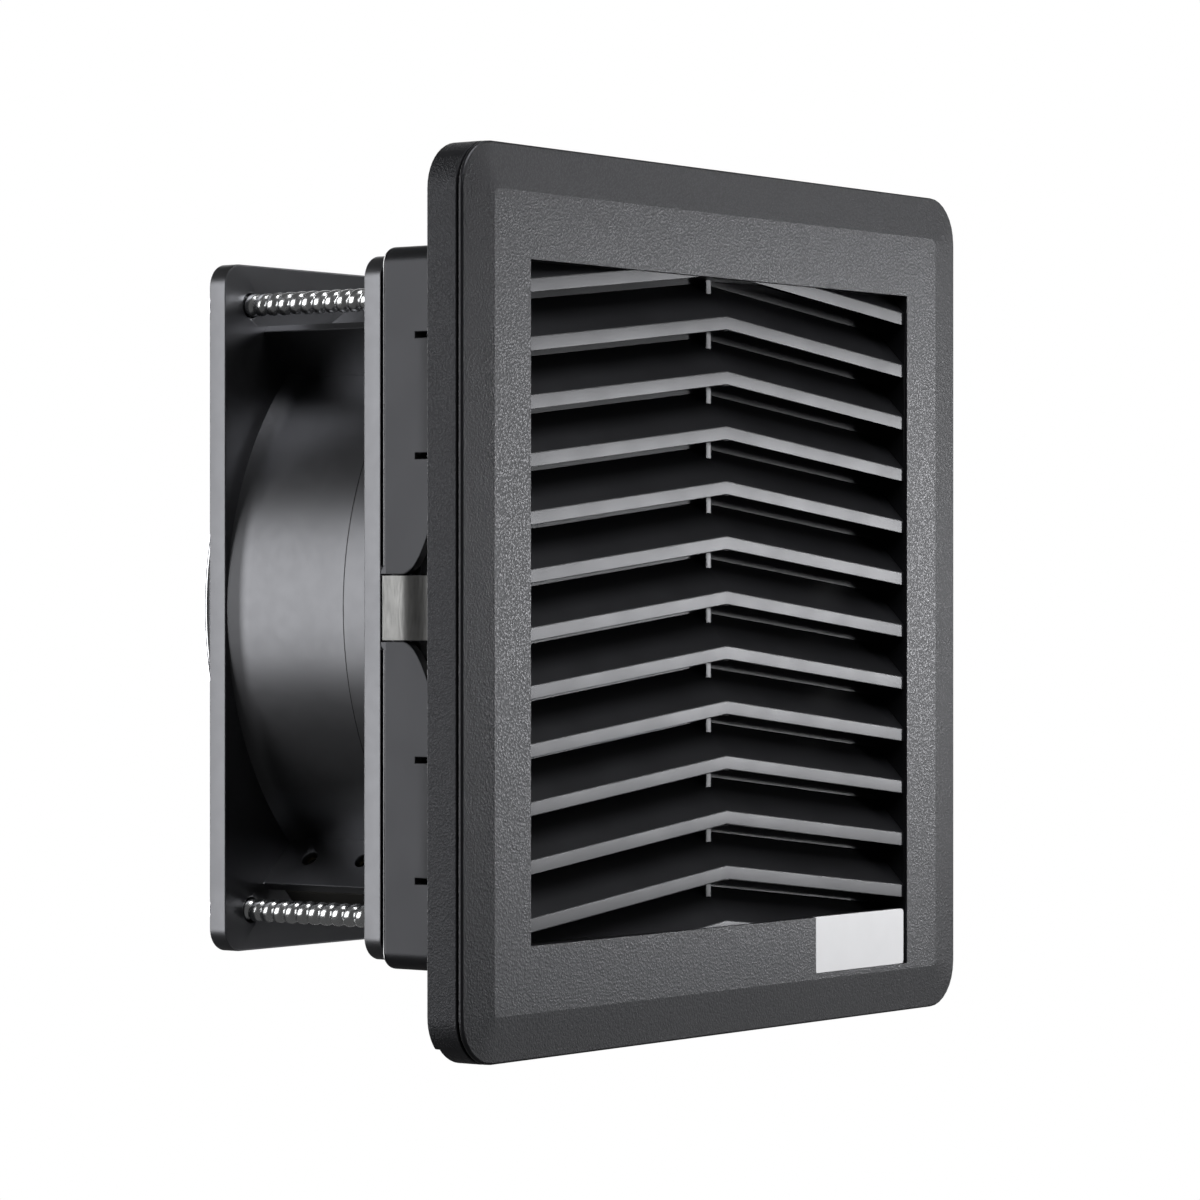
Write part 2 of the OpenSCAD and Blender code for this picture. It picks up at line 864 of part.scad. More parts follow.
// The webs that stand on the duct at its corners and stop short of the screws
module corner_webs() {
    for (k = [0 : 3])
        rotate([0, 45 + 90 * k, 0])
            box([duct_r - web_sink, flange_in_y - eps, -web_t / 2],
                [web_reach, flange_out_y + eps, web_t / 2]);
}

// The motor's base, its bearing tube and the struts that reach the duct
module motor_carrier() {
    turned()
        polygon([[bearing_r, tube_y], [tube_r, tube_y], [tube_r, base_y], [base_r - base_chamfer, base_y],
            [base_r, base_y + base_chamfer], [base_r, fan_rear_y], [bearing_r, fan_rear_y],
            [bearing_r, rear_bearing_y], [shoulder_r, rear_bearing_y], [shoulder_r, shoulder_y],
            [bearing_r, shoulder_y]]);
    for (k = [0 : 3])
        rotate([0, 45 + 90 * k, 0])
            box([base_r - base_chamfer, fan_rear_y - strut_t, -strut_w / 2],
                [strut_end + strut_w, fan_rear_y, strut_w / 2]);
}

// The cast fan housing
module fan_housing() {
    color(black_paint)
        difference() {
            union() {
                fan_plate(fan_y, flange_in_y, bore_r);
                fan_plate(flange_out_y, fan_rear_y, bore_r + flare_grow);
                duct_shell();
                corner_webs();
                intersection() {
                    motor_carrier();
                    slab(tube_y - eps, fan_rear_y)
                        circle(r = strut_end);
                }
            }
            at_screws()
                slab(fan_y - eps, fan_rear_y + eps)
                    circle(r = screw_bore_r);
            at_leads(-web_t / 2 - eps)
                cylinder(h = web_t + 2 * eps, d = lead_hole_d);
        }
}

// Places its children on the axis of each lead hole, a given way below the middle of the lower left web
module at_leads(below) {
    for (side = [-1, 1])
        rotate([0, lead_turn, 0])
            translate([lead_reach, lead_y + side * lead_pitch / 2, below])
                children();
}

// The block under the lower left web that holds the contacts
module terminal_block() {
    half_w = (web_reach - block_in) / 2;
    color(cream_plastic)
        difference() {
            rotate([0, lead_turn, 0])
                translate([block_in + half_w, lead_y, web_t / 2])
                    linear_extrude(height = block_t)
                        union() {
                            square([2 * half_w, 2 * (block_half - block_radius)], center = true);
                            square([2 * (half_w - block_radius), 2 * block_half], center = true);
                            for (x = [-1, 1], y = [-1, 1])
                                translate([x * (half_w - block_radius), y * (block_half - block_radius)])
                                    circle(r = block_radius);
                        }
            at_leads(web_t / 2 - eps)
                cylinder(h = pin_set + eps, d = lead_hole_d);
            at_leads(web_t / 2)
                cylinder(h = block_t + eps, d = pin_d);
        }
}

// The two contact pins, sunk in the block and with tails below it
module contact_pins() {
    color(brass)
        at_leads(web_t / 2 + pin_set)
            cylinder(h = block_t - pin_set + pin_tail, d = pin_d);
}

// The outline of a stator plate: a yoke with four poles
module stator_outline(shoes) {
    difference() {
        union() {
            circle(r = yoke_r);
            for (turn = [0, 90])
                rotate(turn)
                    square([2 * (stator_r - shoe_t / 2), neck_w], center = true);
            if (shoes)
                difference() {
                    round_ring(stator_r, stator_r - shoe_t);
                    for (turn = [45, 135])
                        rotate(turn)
                            square([2 * (stator_r + eps), shoe_gap], center = true);
                }
        }
        circle(r = tube_r);
    }
}

// The stack of stator plates on the bearing tube
module stator_core() {
    color(lamination)
        slab(stack_y, stack_end_y)
            stator_outline(true);
}

// The insulators on both ends of the stack
module stator_insulators() {
    color(cream_plastic)
        for (y = [stack_y - insulator_t, stack_end_y])
            slab(y, y + insulator_t)
                stator_outline(false);
}

// The four coils on the poles
module stator_windings() {
    near_y = stack_y - insulator_t;
    far_y = stack_end_y + insulator_t;
    color(copper)
        for (turn = [0 : 90 : 270])
            rotate([0, turn, 0])
                difference() {
                    box([coil_in_x, near_y - coil_t, -coil_half], [coil_out_x, far_y + coil_t, coil_half]);
                    box([coil_in_x - eps, near_y, -neck_w / 2], [coil_out_x + eps, far_y, neck_w / 2]);
                }
}

// A ball bearing: two rings and the shields between them
module bearing(y) {
    race = (bearing_r - shaft_r) * race_share;
    inner = shaft_r + shaft_gap;
    far = y + bearing_w;
    near_dish = y + shield_dish;
    far_dish = far - shield_dish;
    color(chrome)
        turned()
            polygon([[inner, y], [inner + race, y], [inner + race, near_dish], [bearing_r - race, near_dish],
                [bearing_r - race, y], [bearing_r, y], [bearing_r, far], [bearing_r - race, far],
                [bearing_r - race, far_dish], [inner + race, far_dish], [inner + race, far], [inner, far]]);
}

// The bearing at the impeller's end
module front_bearing() {
    bearing(front_bearing_y);
}

// The bearing in the motor's base
module rear_bearing() {
    bearing(rear_bearing_y);
}

// The spring washer that loads the bearings
module preload_washer() {
    color(spring_steel)
        slab(washer_y, shoulder_y)
            round_ring(bearing_r - washer_gap, shoulder_r - washer_over);
}

// The shaft, with a groove for its clip
module shaft() {
    groove_r = shaft_r - groove_depth;
    color(chrome)
        turned()
            polygon([[0, cup_y], [shaft_r, cup_y], [shaft_r, ring_groove_y], [groove_r, ring_groove_y],
                [groove_r, ring_groove_y + clip_ring_t], [shaft_r, ring_groove_y + clip_ring_t],
                [shaft_r, shaft_end_y - shaft_chamfer], [shaft_r - shaft_chamfer, shaft_end_y],
                [0, shaft_end_y]]);
}

// The open clip that keeps the shaft in its bearings
module shaft_clip() {
    groove_r = shaft_r - groove_depth;
    mouth = 1.5 * groove_r;
    color(spring_steel)
        slab(ring_groove_y, ring_groove_y + clip_ring_t)
            difference() {
                round_ring(shaft_r + clip_ring_w, groove_r);
                translate([-mouth / 2, 0])
                    square([mouth, shaft_r + clip_ring_w + eps]);
            }
}

// The pressed steel cup that carries the impeller
module rotor_cup() {
    inner_r = cup_r - cup_wall;
    inner_y = cup_y + cup_wall;
    inner_bend = cup_bend * inner_r / cup_r;
    boss_end_y = inner_y + cup_boss_l;
    color(lamination)
        turned()
            polygon([[shaft_r, cup_y], [cup_r - cup_bend, cup_y], [cup_r, cup_y + cup_bend],
                [cup_r, cup_end_y], [inner_r, cup_end_y], [inner_r, inner_y + inner_bend],
                [inner_r - inner_bend, inner_y], [cup_boss_r, inner_y], [cup_boss_r, boss_end_y],
                [shaft_r, boss_end_y]]);
}

// The rotor's ring of plates inside the cup
module rotor_ring() {
    color(lamination)
        slab(stack_y, stack_end_y)
            round_ring(cup_r - cup_wall, stator_r + air_gap);
}

// One section of a blade, wrapped on a cylinder about the Y axis
function blade_section(share) =
    let (
        radius = blade_root_r + share * (tip_r - blade_root_r),
        pitch = root_pitch + share * (tip_pitch - root_pitch),
        length = blade_root_l + share * (blade_tip_l - blade_root_l),
        thick = blade_root_t + share * (blade_tip_t - blade_root_t),
        chord = length / sin(pitch),
        lead = blade_sweep * share * share
    )
    [for (k = [0 : 2 * blade_points - 1])
        let (
            u = k <= blade_points ? k / blade_points : 2 - k / blade_points,
            side = k < blade_points ? 1 : -1,
            along = (u - 0.5) * chord,
            off = 4 * blade_camber * chord * u * (1 - u) + side * thick * sqrt(u * (1 - u)),
            around = along * cos(pitch) - off * sin(pitch),
            up = along * sin(pitch) + off * cos(pitch),
            angle = lead + around / radius * 180 / PI
        )
        [radius * cos(angle), blade_mid_y + up, radius * sin(angle)]];

// A lofted impeller blade from its root in the hub to its tip
module blade() {
    ring = 2 * blade_points;
    last = blade_stations - 1;
    points = [for (s = [0 : last]) each blade_section(s / last)];
    walls = [for (s = [0 : last - 1], k = [0 : ring - 1])
        let (a = s * ring + k, b = s * ring + (k + 1) % ring)
        each [[a, b + ring, b], [a, a + ring, b + ring]]];
    cap = [for (k = [0 : blade_points - 1])
        let (a = k, b = k + 1, c = (ring - k) % ring, d = ring - k - 1)
        each k == 0 ? [[a, b, d]] : k == blade_points - 1 ? [[a, b, c]] : [[a, b, d], [a, d, c]]];
    far = last * ring;
    polyhedron(points = points, faces = concat(walls,
        cap, [for (f = cap) [f[0] + far, f[2] + far, f[1] + far]]), convexity = 4);
}

// The impeller: a hub over the rotor cup, with lofted blades
module impeller() {
    front = cup_y - hub_front;
    rounding = [for (turn = [90 : -15 : 0])
        [hub_r - hub_round * (1 - cos(turn)), front + hub_round * (1 - sin(turn))]];
    color(dark_plastic)
        union() {
            turned()
                polygon(concat([[0, front]], rounding,
                    [[hub_r, cup_end_y], [cup_r, cup_end_y], [cup_r, cup_y], [0, cup_y]]));
            for (k = [0 : blade_count - 1])
                rotate([0, k * 360 / blade_count, 0])
                    blade();
        }
}

// The wire guard: rings on four legs that end in eyes under the screw heads
module finger_guard() {
    color(chrome)
        union() {
            for (k = [0 : guard_rings - 1])
                turned()
                    translate([guard_ring_r - k * guard_pitch, ring_y])
                        circle(d = wire_d, $fn = 24);
            for (k = [0 : 3])
                rotate([0, 45 + 90 * k, 0]) {
                    bar([leg_eye_r, eye_y, 0], [leg_bend_r, leg_y, 0], leg_d);
                    translate([leg_bend_r, leg_y, 0])
                        sphere(d = leg_d + leg_grow / 2);
                    bar([leg_bend_r, leg_y, 0], [leg_end_r, leg_y, 0], leg_d);
                }
            at_screws()
                translate([0, eye_y, 0])
                    turned()
                        translate([eye_r, 0])
                            circle(d = wire_d, $fn = 24);
        }
}

// The four screws through both flanges into the frame's bosses
module fan_screws() {
    shank = screw_d / 2;
    edge_h = head_h / 3;
    crown = [for (turn = [0 : 15 : 90])
        [head_d / 2 * cos(turn), head_y + edge_h + (head_h - edge_h) * sin(turn)]];
    color(chrome)
        at_screws()
            turned()
                polygon(concat([[0, screw_tip_y], [shank - screw_point_cut, screw_tip_y],
                    [shank, screw_tip_y + screw_point_l], [shank, head_y], [head_d / 2, head_y]], crown));
}

// A smooth step from 0 to 1
function ease(t) = t * t * (3 - 2 * t);

// How far the spring strip lies inside the collar's face at a given depth
function clip_in(y) =
    y > clip_flat_y ? 0
    : y > clip_dip_y ? clip_dip * ease((clip_flat_y - y) / (clip_flat_y - clip_dip_y))
    : y > clip_catch_y
        ? clip_dip - (clip_dip + clip_out) * ease((clip_dip_y - y) / (clip_dip_y - clip_catch_y))
    : -clip_out + (clip_out - lift_gap) * (clip_catch_y - y) / (clip_catch_y - clip_tip_y);

// The bent spring strip on the right side
module spring_clip() {
    depths = [for (k = [0 : clip_steps]) clip_rear_y + (clip_tip_y - clip_rear_y) * k / clip_steps];
    outer = [for (y = depths) [clip_x - clip_in(y), y]];
    inner = [for (k = [clip_steps : -1 : 0]) if (depths[k] < collar_depth - clip_t)
        [clip_x - clip_in(depths[k]) - clip_t, depths[k]]];
    fold = [[clip_x - clip_t, collar_depth], [clip_x - clip_fold, collar_depth],
        [clip_x - clip_fold, clip_rear_y]];
    color(spring_steel)
        translate([0, 0, -clip_w / 2])
            linear_extrude(height = clip_w)
                polygon(concat(outer, inner, fold));
}

// The spring clip on the left side
module left_clip() {
    mirror([1, 0, 0])
        spring_clip();
}

// The spring clip on the right side
module right_clip() {
    spring_clip();
}

mounting_frame();
panel_gasket();
filter_mat();
support_grid();
fan_housing();
stator_core();
stator_insulators();
stator_windings();
front_bearing();
rear_bearing();
preload_washer();
terminal_block();
contact_pins();
finger_guard();
fan_screws();
shaft();
shaft_clip();
rotor_cup();
rotor_ring();
impeller();
front_grille();
blank_plate();
left_clip();
right_clip();
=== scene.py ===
"""Dresses a cabinet filter fan: a louvred snap-in front, a filter mat and a boxed axial fan.

All sizes are metres in the frame's own axes: +X to the right, +Y into the cabinet and +Z up.
"""

import functools
import logging
import math
import random
from dataclasses import dataclass
from enum import Enum

import bmesh
import bpy
from mathutils import Matrix, Vector, noise


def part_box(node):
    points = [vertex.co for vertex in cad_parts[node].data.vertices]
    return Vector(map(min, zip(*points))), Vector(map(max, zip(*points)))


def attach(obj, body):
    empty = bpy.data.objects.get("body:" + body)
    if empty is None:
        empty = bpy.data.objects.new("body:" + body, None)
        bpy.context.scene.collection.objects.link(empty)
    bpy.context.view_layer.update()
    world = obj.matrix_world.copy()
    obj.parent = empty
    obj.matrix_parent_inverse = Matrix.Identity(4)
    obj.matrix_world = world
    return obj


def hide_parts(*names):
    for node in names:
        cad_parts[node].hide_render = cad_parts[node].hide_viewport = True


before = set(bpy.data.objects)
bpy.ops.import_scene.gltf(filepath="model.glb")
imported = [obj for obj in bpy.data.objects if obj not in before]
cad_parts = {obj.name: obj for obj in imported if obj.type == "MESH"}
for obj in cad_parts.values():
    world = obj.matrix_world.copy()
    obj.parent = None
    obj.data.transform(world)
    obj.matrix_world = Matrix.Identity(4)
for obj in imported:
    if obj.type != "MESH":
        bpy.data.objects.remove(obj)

MM = 0.001
WELD = 1e-6
FLAT_ANGLE = math.radians(0.2)
SHARP_ANGLE = math.radians(32)
AXIS_R = 0.02 * MM
WEAR = "edge_wear"
LOG = logging.getLogger("filter_fan")

Point = tuple[float, float, float]
Face = tuple[int, ...]
Colour = tuple[float, float, float]


class Body(Enum):
    """The frame's bodies that pieces ride on."""

    FRAME = "frame"
    ROTOR = "rotor"
    GRILLE = "grille"
    LEFT_CLIP = "left_clip"
    RIGHT_CLIP = "right_clip"


class Slot(Enum):
    """The record's material slots, one listed with each new piece."""

    GRILLE = "grille_plastic"
    FRAME = "frame_plastic"
    CASTING = "fan_casting"
    IMPELLER = "impeller_plastic"
    SCREW = "screw_chrome"
    SPRING = "spring_steel"
    COPPER = "copper"
    INSULATOR = "insulator"
    FIBRE = "filter_fibre"
    PLATE = "white_plate"


class Skin(Enum):
    """Where a moulding carries its grain."""

    NOWHERE = "smooth all over"
    FRONT = "the bevelled front and the rim"
    RIM = "the rim of the flange"


class Lay(Enum):
    """Which way the lines of a drawn or rolled metal run."""

    ALONG_X = (1.0, 0.0, 0.0)
    ALONG_Y = (0.0, 1.0, 0.0)
    ALONG_Z = (0.0, 0.0, 1.0)


@dataclass
class NodeSet:
    """The nodes of a material or of the world, with short calls to add to them."""

    tree: bpy.types.NodeTree

    def feed(self, socket: bpy.types.NodeSocket, value: object) -> None:
        """Links a socket to another one, or sets its number.

        Args:
            socket: the input to feed.
            value: an output socket, a number, or a tuple of numbers.
        """
        if isinstance(value, bpy.types.NodeSocket):
            self.tree.links.new(value, socket)
        else:
            socket.default_value = value

    def node(self, kind: str, inputs: dict, **settings: object) -> bpy.types.Node:
        """Adds a node.

        Args:
            kind: Blender's name for the node.
            inputs: what feeds each input, by its name or number.
            settings: the node's own settings.

        Returns:
            The new node.
        """
        made = self.tree.nodes.new(kind)
        for key, value in settings.items():
            setattr(made, key, value)
        for key, value in inputs.items():
            self.feed(made.inputs[key], value)
        return made

    def math(self, operation: str, first: object, second: object = 0.0) -> bpy.types.NodeSocket:
        """Works out a number from two others.

        Args:
            operation: Blender's name for the sum.
            first: number or socket.
            second: number or socket.

        Returns:
            The socket with the answer.
        """
        return self.node("ShaderNodeMath", {0: first, 1: second}, operation=operation).outputs[0]

    def spread(self, value: bpy.types.NodeSocket, low: float, high: float, start: float = 0.3,
               end: float = 0.7) -> bpy.types.NodeSocket:
        """Maps a value smoothly to a new range.

        Args:
            value: the value to map.
            low: result where the value is at start or below.
            high: result where the value is at end or above.
            start: lower end of the value.
            end: upper end of the value.

        Returns:
            The mapped value.
        """
        inputs = {"Value": value, "From Min": start, "From Max": end, "To Min": low, "To Max": high}
        return self.node("ShaderNodeMapRange", inputs, interpolation_type="SMOOTHSTEP").outputs[0]

    def camera_ray(self) -> bpy.types.NodeSocket:
        """Returns 1 for what the camera itself sees and 0 for light and reflections."""
        return self.node("ShaderNodeLightPath", {}).outputs["Is Camera Ray"]


class ShaderTree(NodeSet):
    """One material's nodes, with short calls for what the finishes share."""

    def __init__(self, name: str) -> None:
        """Starts a material with one shader and the piece's own coordinates.

        Args:
            name: name of the material.
        """
        self.material = bpy.data.materials.new(name)
        self.material.use_nodes = True
        super().__init__(self.material.node_tree)
        self.shader = self.tree.nodes["Principled BSDF"]
        self.place = self.node("ShaderNodeTexCoord", {}).outputs["Object"]

    def axes(self) -> dict[str, bpy.types.NodeSocket]:
        """Returns the piece's X, Y and Z coordinates as sockets."""
        split = self.node("ShaderNodeSeparateXYZ", {0: self.place})
        return {axis: split.outputs[axis] for axis in "XYZ"}

    def noise(self, size: float, detail: float = 3.0, stretch: Point = (1, 1, 1),
              warp: float = 0.0) -> bpy.types.NodeSocket:
        """Adds cloudy noise.

        Args:
            size: width of the clouds.
            detail: how many finer layers it has.
            stretch: scale of the coordinates along each axis.
            warp: how far the noise bends itself.

        Returns:
            The noise, about 0 to 1.
        """
        where = self.node("ShaderNodeMapping", {"Vector": self.place, "Scale": stretch}).outputs[0]
        inputs = {"Vector": where, "Scale": 1 / size, "Detail": detail, "Distortion": warp}
        return self.node("ShaderNodeTexNoise", inputs).outputs[0]

    def pebbles(self, size: float, smooth: float = 0.5, wander: float = 0.5) -> bpy.types.NodeSocket:
        """Adds rounded cells like those of a leather grain or foam.

        Args:
            size: width of a cell.
            smooth: how round the cells are.
            wander: how far the cells are pulled out of shape, as a share of their size.

        Returns:
            The distance from the nearest cell's middle.
        """
        cloud = self.node("ShaderNodeTexNoise", {"Vector": self.place, "Scale": 0.6 / size, "Detail": 2.0})
        pull = self.node("ShaderNodeVectorMath", {0: cloud.outputs["Color"], "Scale": wander * size},
                         operation="SCALE").outputs[0]
        where = self.node("ShaderNodeVectorMath", {0: self.place, 1: pull}, operation="ADD").outputs[0]
        inputs = {"Vector": where, "Scale": 1 / size, "Smoothness": smooth}
        return self.node("ShaderNodeTexVoronoi", inputs, feature="SMOOTH_F1").outputs["Distance"]

    def blend(self, share: object, first: object, second: object) -> bpy.types.NodeSocket:
        """Mixes two colours.

        Args:
            share: how much of the second colour shows.
            first: colour or socket.
            second: colour or socket.

        Returns:
            The mixed colour.
        """
        first, second = (c if isinstance(c, bpy.types.NodeSocket) else (*c, 1.0) for c in (first, second))
        mix = self.node("ShaderNodeMix", {0: share, 6: first, 7: second}, data_type="RGBA")
        return mix.outputs[2]

    def worn(self, size: float = 3 * MM) -> bpy.types.NodeSocket:
        """Returns where a rounded edge is rubbed, patchy along its length."""
        edge = self.node("ShaderNodeAttribute", {}, attribute_name=WEAR).outputs["Fac"]
        return self.math("MULTIPLY", edge, self.spread(self.noise(size), 0.2, 1.0, 0.35, 0.65))

    def bump(self, height: bpy.types.NodeSocket, depth: float, strength: object = 1.0,
             under: bpy.types.NodeSocket | None = None) -> bpy.types.NodeSocket:
        """Adds a raised texture.

        Args:
            height: the texture.
            depth: height of the texture where its value is 1.
            strength: how much of it shows.
            under: a normal to build on.

        Returns:
            The bent normal.
        """
        inputs = {"Height": height, "Distance": depth, "Strength": strength}
        if under is not None:
            inputs["Normal"] = under
        return self.node("ShaderNodeBump", inputs).outputs[0]

    def finish(self, **inputs: object) -> bpy.types.Material:
        """Feeds the shader and returns the material.

        Args:
            inputs: the shader's inputs, with underscores for spaces.

        Returns:
            The finished material.
        """
        for key, value in inputs.items():
            socket = self.shader.inputs[key.replace("_", " ")]
            if isinstance(value, tuple) and len(value) == 3 and socket.type == "RGBA":
                value = (*value, 1.0)
            self.feed(socket, value)
        return self.material


@dataclass(frozen=True)
class Finish:
    """What every finish has."""

    name: str
    colour: Colour
    rough: float

    def material(self) -> bpy.types.Material:
        """Makes the finish's material."""
        raise NotImplementedError(self.name)


@functools.cache
def material_of(finish: Finish) -> bpy.types.Material:
    """Returns the one material of a finish."""
    return finish.material()


@dataclass(frozen=True)
class MouldedPlastic(Finish):
    """Moulded plastic, smooth or with a leather grain on its outer skin."""

    gloss: float = 0.5
    haze: float = 0.004 * MM
    skin: Skin = Skin.NOWHERE
    skin_rough: float = 0.5
    tint: Colour = (1.0, 1.0, 1.0)
    polish_y: float = 1.0
    polish_rough: float = 0.13
    grain: float = 0.44 * MM
    grain_depth: float = 0.034 * MM
    skin_front: float = -7.0 * MM
    skin_side: float = 73.6 * MM
    open_half_w: float = 57.65 * MM
    open_half_h: float = 56.45 * MM
    lift: float = 0.9 * MM

    def skin_mask(self, tree: ShaderTree) -> bpy.types.NodeSocket:
        """Finds the grained skin.

        Args:
            tree: the material's nodes.

        Returns:
            1 on the grained skin and 0 elsewhere.
        """
        axes = tree.axes()
        wide = tree.math("ABSOLUTE", axes["X"])
        high = tree.math("ABSOLUTE", tree.math("SUBTRACT", axes["Z"], self.lift))
        rim = tree.math("GREATER_THAN", tree.math("MAXIMUM", wide, high), self.skin_side)
        if self.skin is Skin.RIM:
            return rim
        past_side = tree.math("GREATER_THAN", wide, self.open_half_w)
        past_end = tree.math("GREATER_THAN", high, self.open_half_h)
        front = tree.math("LESS_THAN", axes["Y"], self.skin_front)
        face = tree.math("MULTIPLY", front, tree.math("MAXIMUM", past_side, past_end))
        return tree.math("MAXIMUM", rim, face)

    def material(self) -> bpy.types.Material:
        """Makes the plastic, with its grain, flow marks and rubbed edges."""
        tree = ShaderTree(self.name)
        flow = tree.noise(9 * MM, detail=2.0)
        hazed = tree.bump(tree.noise(0.25 * MM, detail=2.0), self.haze)
        dark = tuple(0.82 * c for c in self.colour)
        pale = tuple(1.3 * c + 0.004 for c in self.colour)
        shade = tree.blend(tree.spread(flow, 0.0, 1.0), dark, self.colour)
        colour = tree.blend(tree.math("MULTIPLY", tree.worn(), 0.5), shade, pale)
        smooth_rough = tree.spread(flow, self.rough - 0.01, self.rough + 0.015)
        gloss = {"Specular_IOR_Level": self.gloss, "Specular_Tint": self.tint}
        if self.skin is Skin.NOWHERE:
            return tree.finish(Base_Color=colour, Roughness=smooth_rough, Normal=hazed, **gloss)
        mask = self.skin_mask(tree)
        pebble = tree.pebbles(self.grain, smooth=0.35, wander=1.4)
        wrinkle = tree.noise(0.5 * self.grain, detail=3.0, warp=0.6)
        height = tree.math("ADD", tree.math("MULTIPLY", pebble, -0.8), tree.math("MULTIPLY", wrinkle, 0.55))
        normal = tree.bump(height, self.grain_depth, mask, hazed)
        pits = tree.spread(pebble, 0.0, 0.16, 0.25, 0.6)
        skin_rough = tree.math("ADD", pits, self.skin_rough - 0.03)
        polish = tree.math("GREATER_THAN", tree.axes()["Y"], self.polish_y)
        bare_rough = tree.node("ShaderNodeMix", {0: polish, 2: smooth_rough, 3: self.polish_rough}).outputs[0]
        rough = tree.node("ShaderNodeMix", {0: mask, 2: bare_rough, 3: skin_rough}).outputs[0]
        return tree.finish(Base_Color=colour, Roughness=rough, Normal=normal, **gloss)


@dataclass(frozen=True)
class CastPaint(Finish):
    """Satin paint on a casting, with the casting's fine skin under it."""

    metal: float = 1.0
    skin: float = 0.9 * MM
    # Place, half width and reach of the painted shadow line in the seam behind the duct's band.
    seam_y: float = 31.66 * MM
    seam_half: float = 0.16 * MM
    seam_reach: float = 58.8 * MM

    def painted_seam_shadow(self, tree: ShaderTree) -> bpy.types.NodeSocket:
        """Finds the painted shadow line in the seam behind the band round the duct.

        Args:
            tree: the material's nodes.

        Returns:
            1 on the painted shadow line in the seam and 0 elsewhere.
        """
        axes = tree.axes()
        near = tree.math("ABSOLUTE", tree.math("SUBTRACT", axes["Y"], self.seam_y))
        squares = [tree.math("MULTIPLY", axes[axis], axes[axis]) for axis in "XZ"]
        on_duct = tree.math("LESS_THAN", tree.math("ADD", *squares), self.seam_reach ** 2)
        return tree.math("MULTIPLY", tree.math("LESS_THAN", near, self.seam_half), on_duct)

    def material(self) -> bpy.types.Material:
        """Makes the paint, with a faint orange peel, rubbed edges and a painted shadow line in the duct's
        seam.
        """
        tree = ShaderTree(self.name)
        peel = tree.noise(self.skin, detail=2.0)
        cloud = tree.noise(14 * MM, detail=3.0)
        dark = tuple(0.94 * c for c in self.colour)
        pale = tuple(1.2 * c for c in self.colour)
        shade = tree.blend(tree.spread(cloud, 0.0, 1.0), dark, self.colour)
        rubbed = tree.blend(tree.math("MULTIPLY", tree.worn(5 * MM), 0.45), shade, pale)
        # Painted shadow: the colour turns near black in a thin line along the seam behind the duct's band.
        colour = tree.blend(self.painted_seam_shadow(tree), rubbed, tuple(0.12 * c for c in self.colour))
        rough = tree.spread(tree.noise(2.2 * MM), self.rough - 0.01, self.rough + 0.015)
        return tree.finish(Base_Color=colour, Metallic=self.metal, Roughness=rough,
                           Normal=tree.bump(peel, 0.0015 * MM))


@dataclass(frozen=True)
class BrightPlating(Finish):
    """Chrome or zinc plating on wire and screws."""

    haze: float = 0.08

    def material(self) -> bpy.types.Material:
        """Makes the plating, with a fine ripple and a little haze."""
        tree = ShaderTree(self.name)
        cloud = tree.noise(4 * MM, detail=3.0)
        dull = tuple(0.86 * c for c in self.colour)
        colour = tree.blend(tree.spread(cloud, 0.0, 1.0), self.colour, dull)
        rough = tree.spread(tree.noise(0.7 * MM), self.rough, self.rough + self.haze)
        return tree.finish(Base_Color=colour, Metallic=1.0, Roughness=rough,
                           Normal=tree.bump(tree.noise(0.4 * MM, detail=1.0), 0.002 * MM))


@dataclass(frozen=True)
class WorkedMetal(Finish):
    """Rolled, ground or drawn metal with lines along its lay."""

    lay: Lay = Lay.ALONG_Y
    line: float = 0.12 * MM
    depth: float = 0.006 * MM

    def material(self) -> bpy.types.Material:
        """Makes the metal, with its lines in the roughness and the relief."""
        tree = ShaderTree(self.name)
        stretch = tuple(0.04 if along else 1.0 for along in self.lay.value)
        lines = tree.noise(self.line, detail=3.0, stretch=stretch)
        cloud = tree.noise(5 * MM, detail=3.0)
        dull = tuple(0.8 * c for c in self.colour)
        shade = tree.blend(tree.spread(cloud, 0.0, 1.0), self.colour, dull)
        pale = tuple(min(1.0, 1.25 * c + 0.05) for c in self.colour)
        colour = tree.blend(tree.math("MULTIPLY", tree.worn(), 0.6), shade, pale)
        rough = tree.spread(lines, self.rough - 0.08, self.rough + 0.1)
        return tree.finish(Base_Color=colour, Metallic=1.0, Roughness=rough,
                           Normal=tree.bump(lines, self.depth))


@dataclass(frozen=True)
class EnamelWire(Finish):
    """Enamelled winding wire."""

    coat: float = 0.8

    def material(self) -> bpy.types.Material:
        """Makes the copper under its clear enamel."""
        tree = ShaderTree(self.name)
        cloud = tree.noise(2.5 * MM, detail=3.0)
        brown = tuple(0.7 * c for c in self.colour)
        colour = tree.blend(tree.spread(cloud, 0.0, 1.0), self.colour, brown)
        rough = tree.spread(tree.noise(0.6 * MM), self.rough - 0.05, self.rough + 0.08)
        return tree.finish(Base_Color=colour, Metallic=0.9, Roughness=rough, Coat_Weight=self.coat,
                           Coat_Roughness=0.12, Normal=tree.bump(cloud, 0.01 * MM))


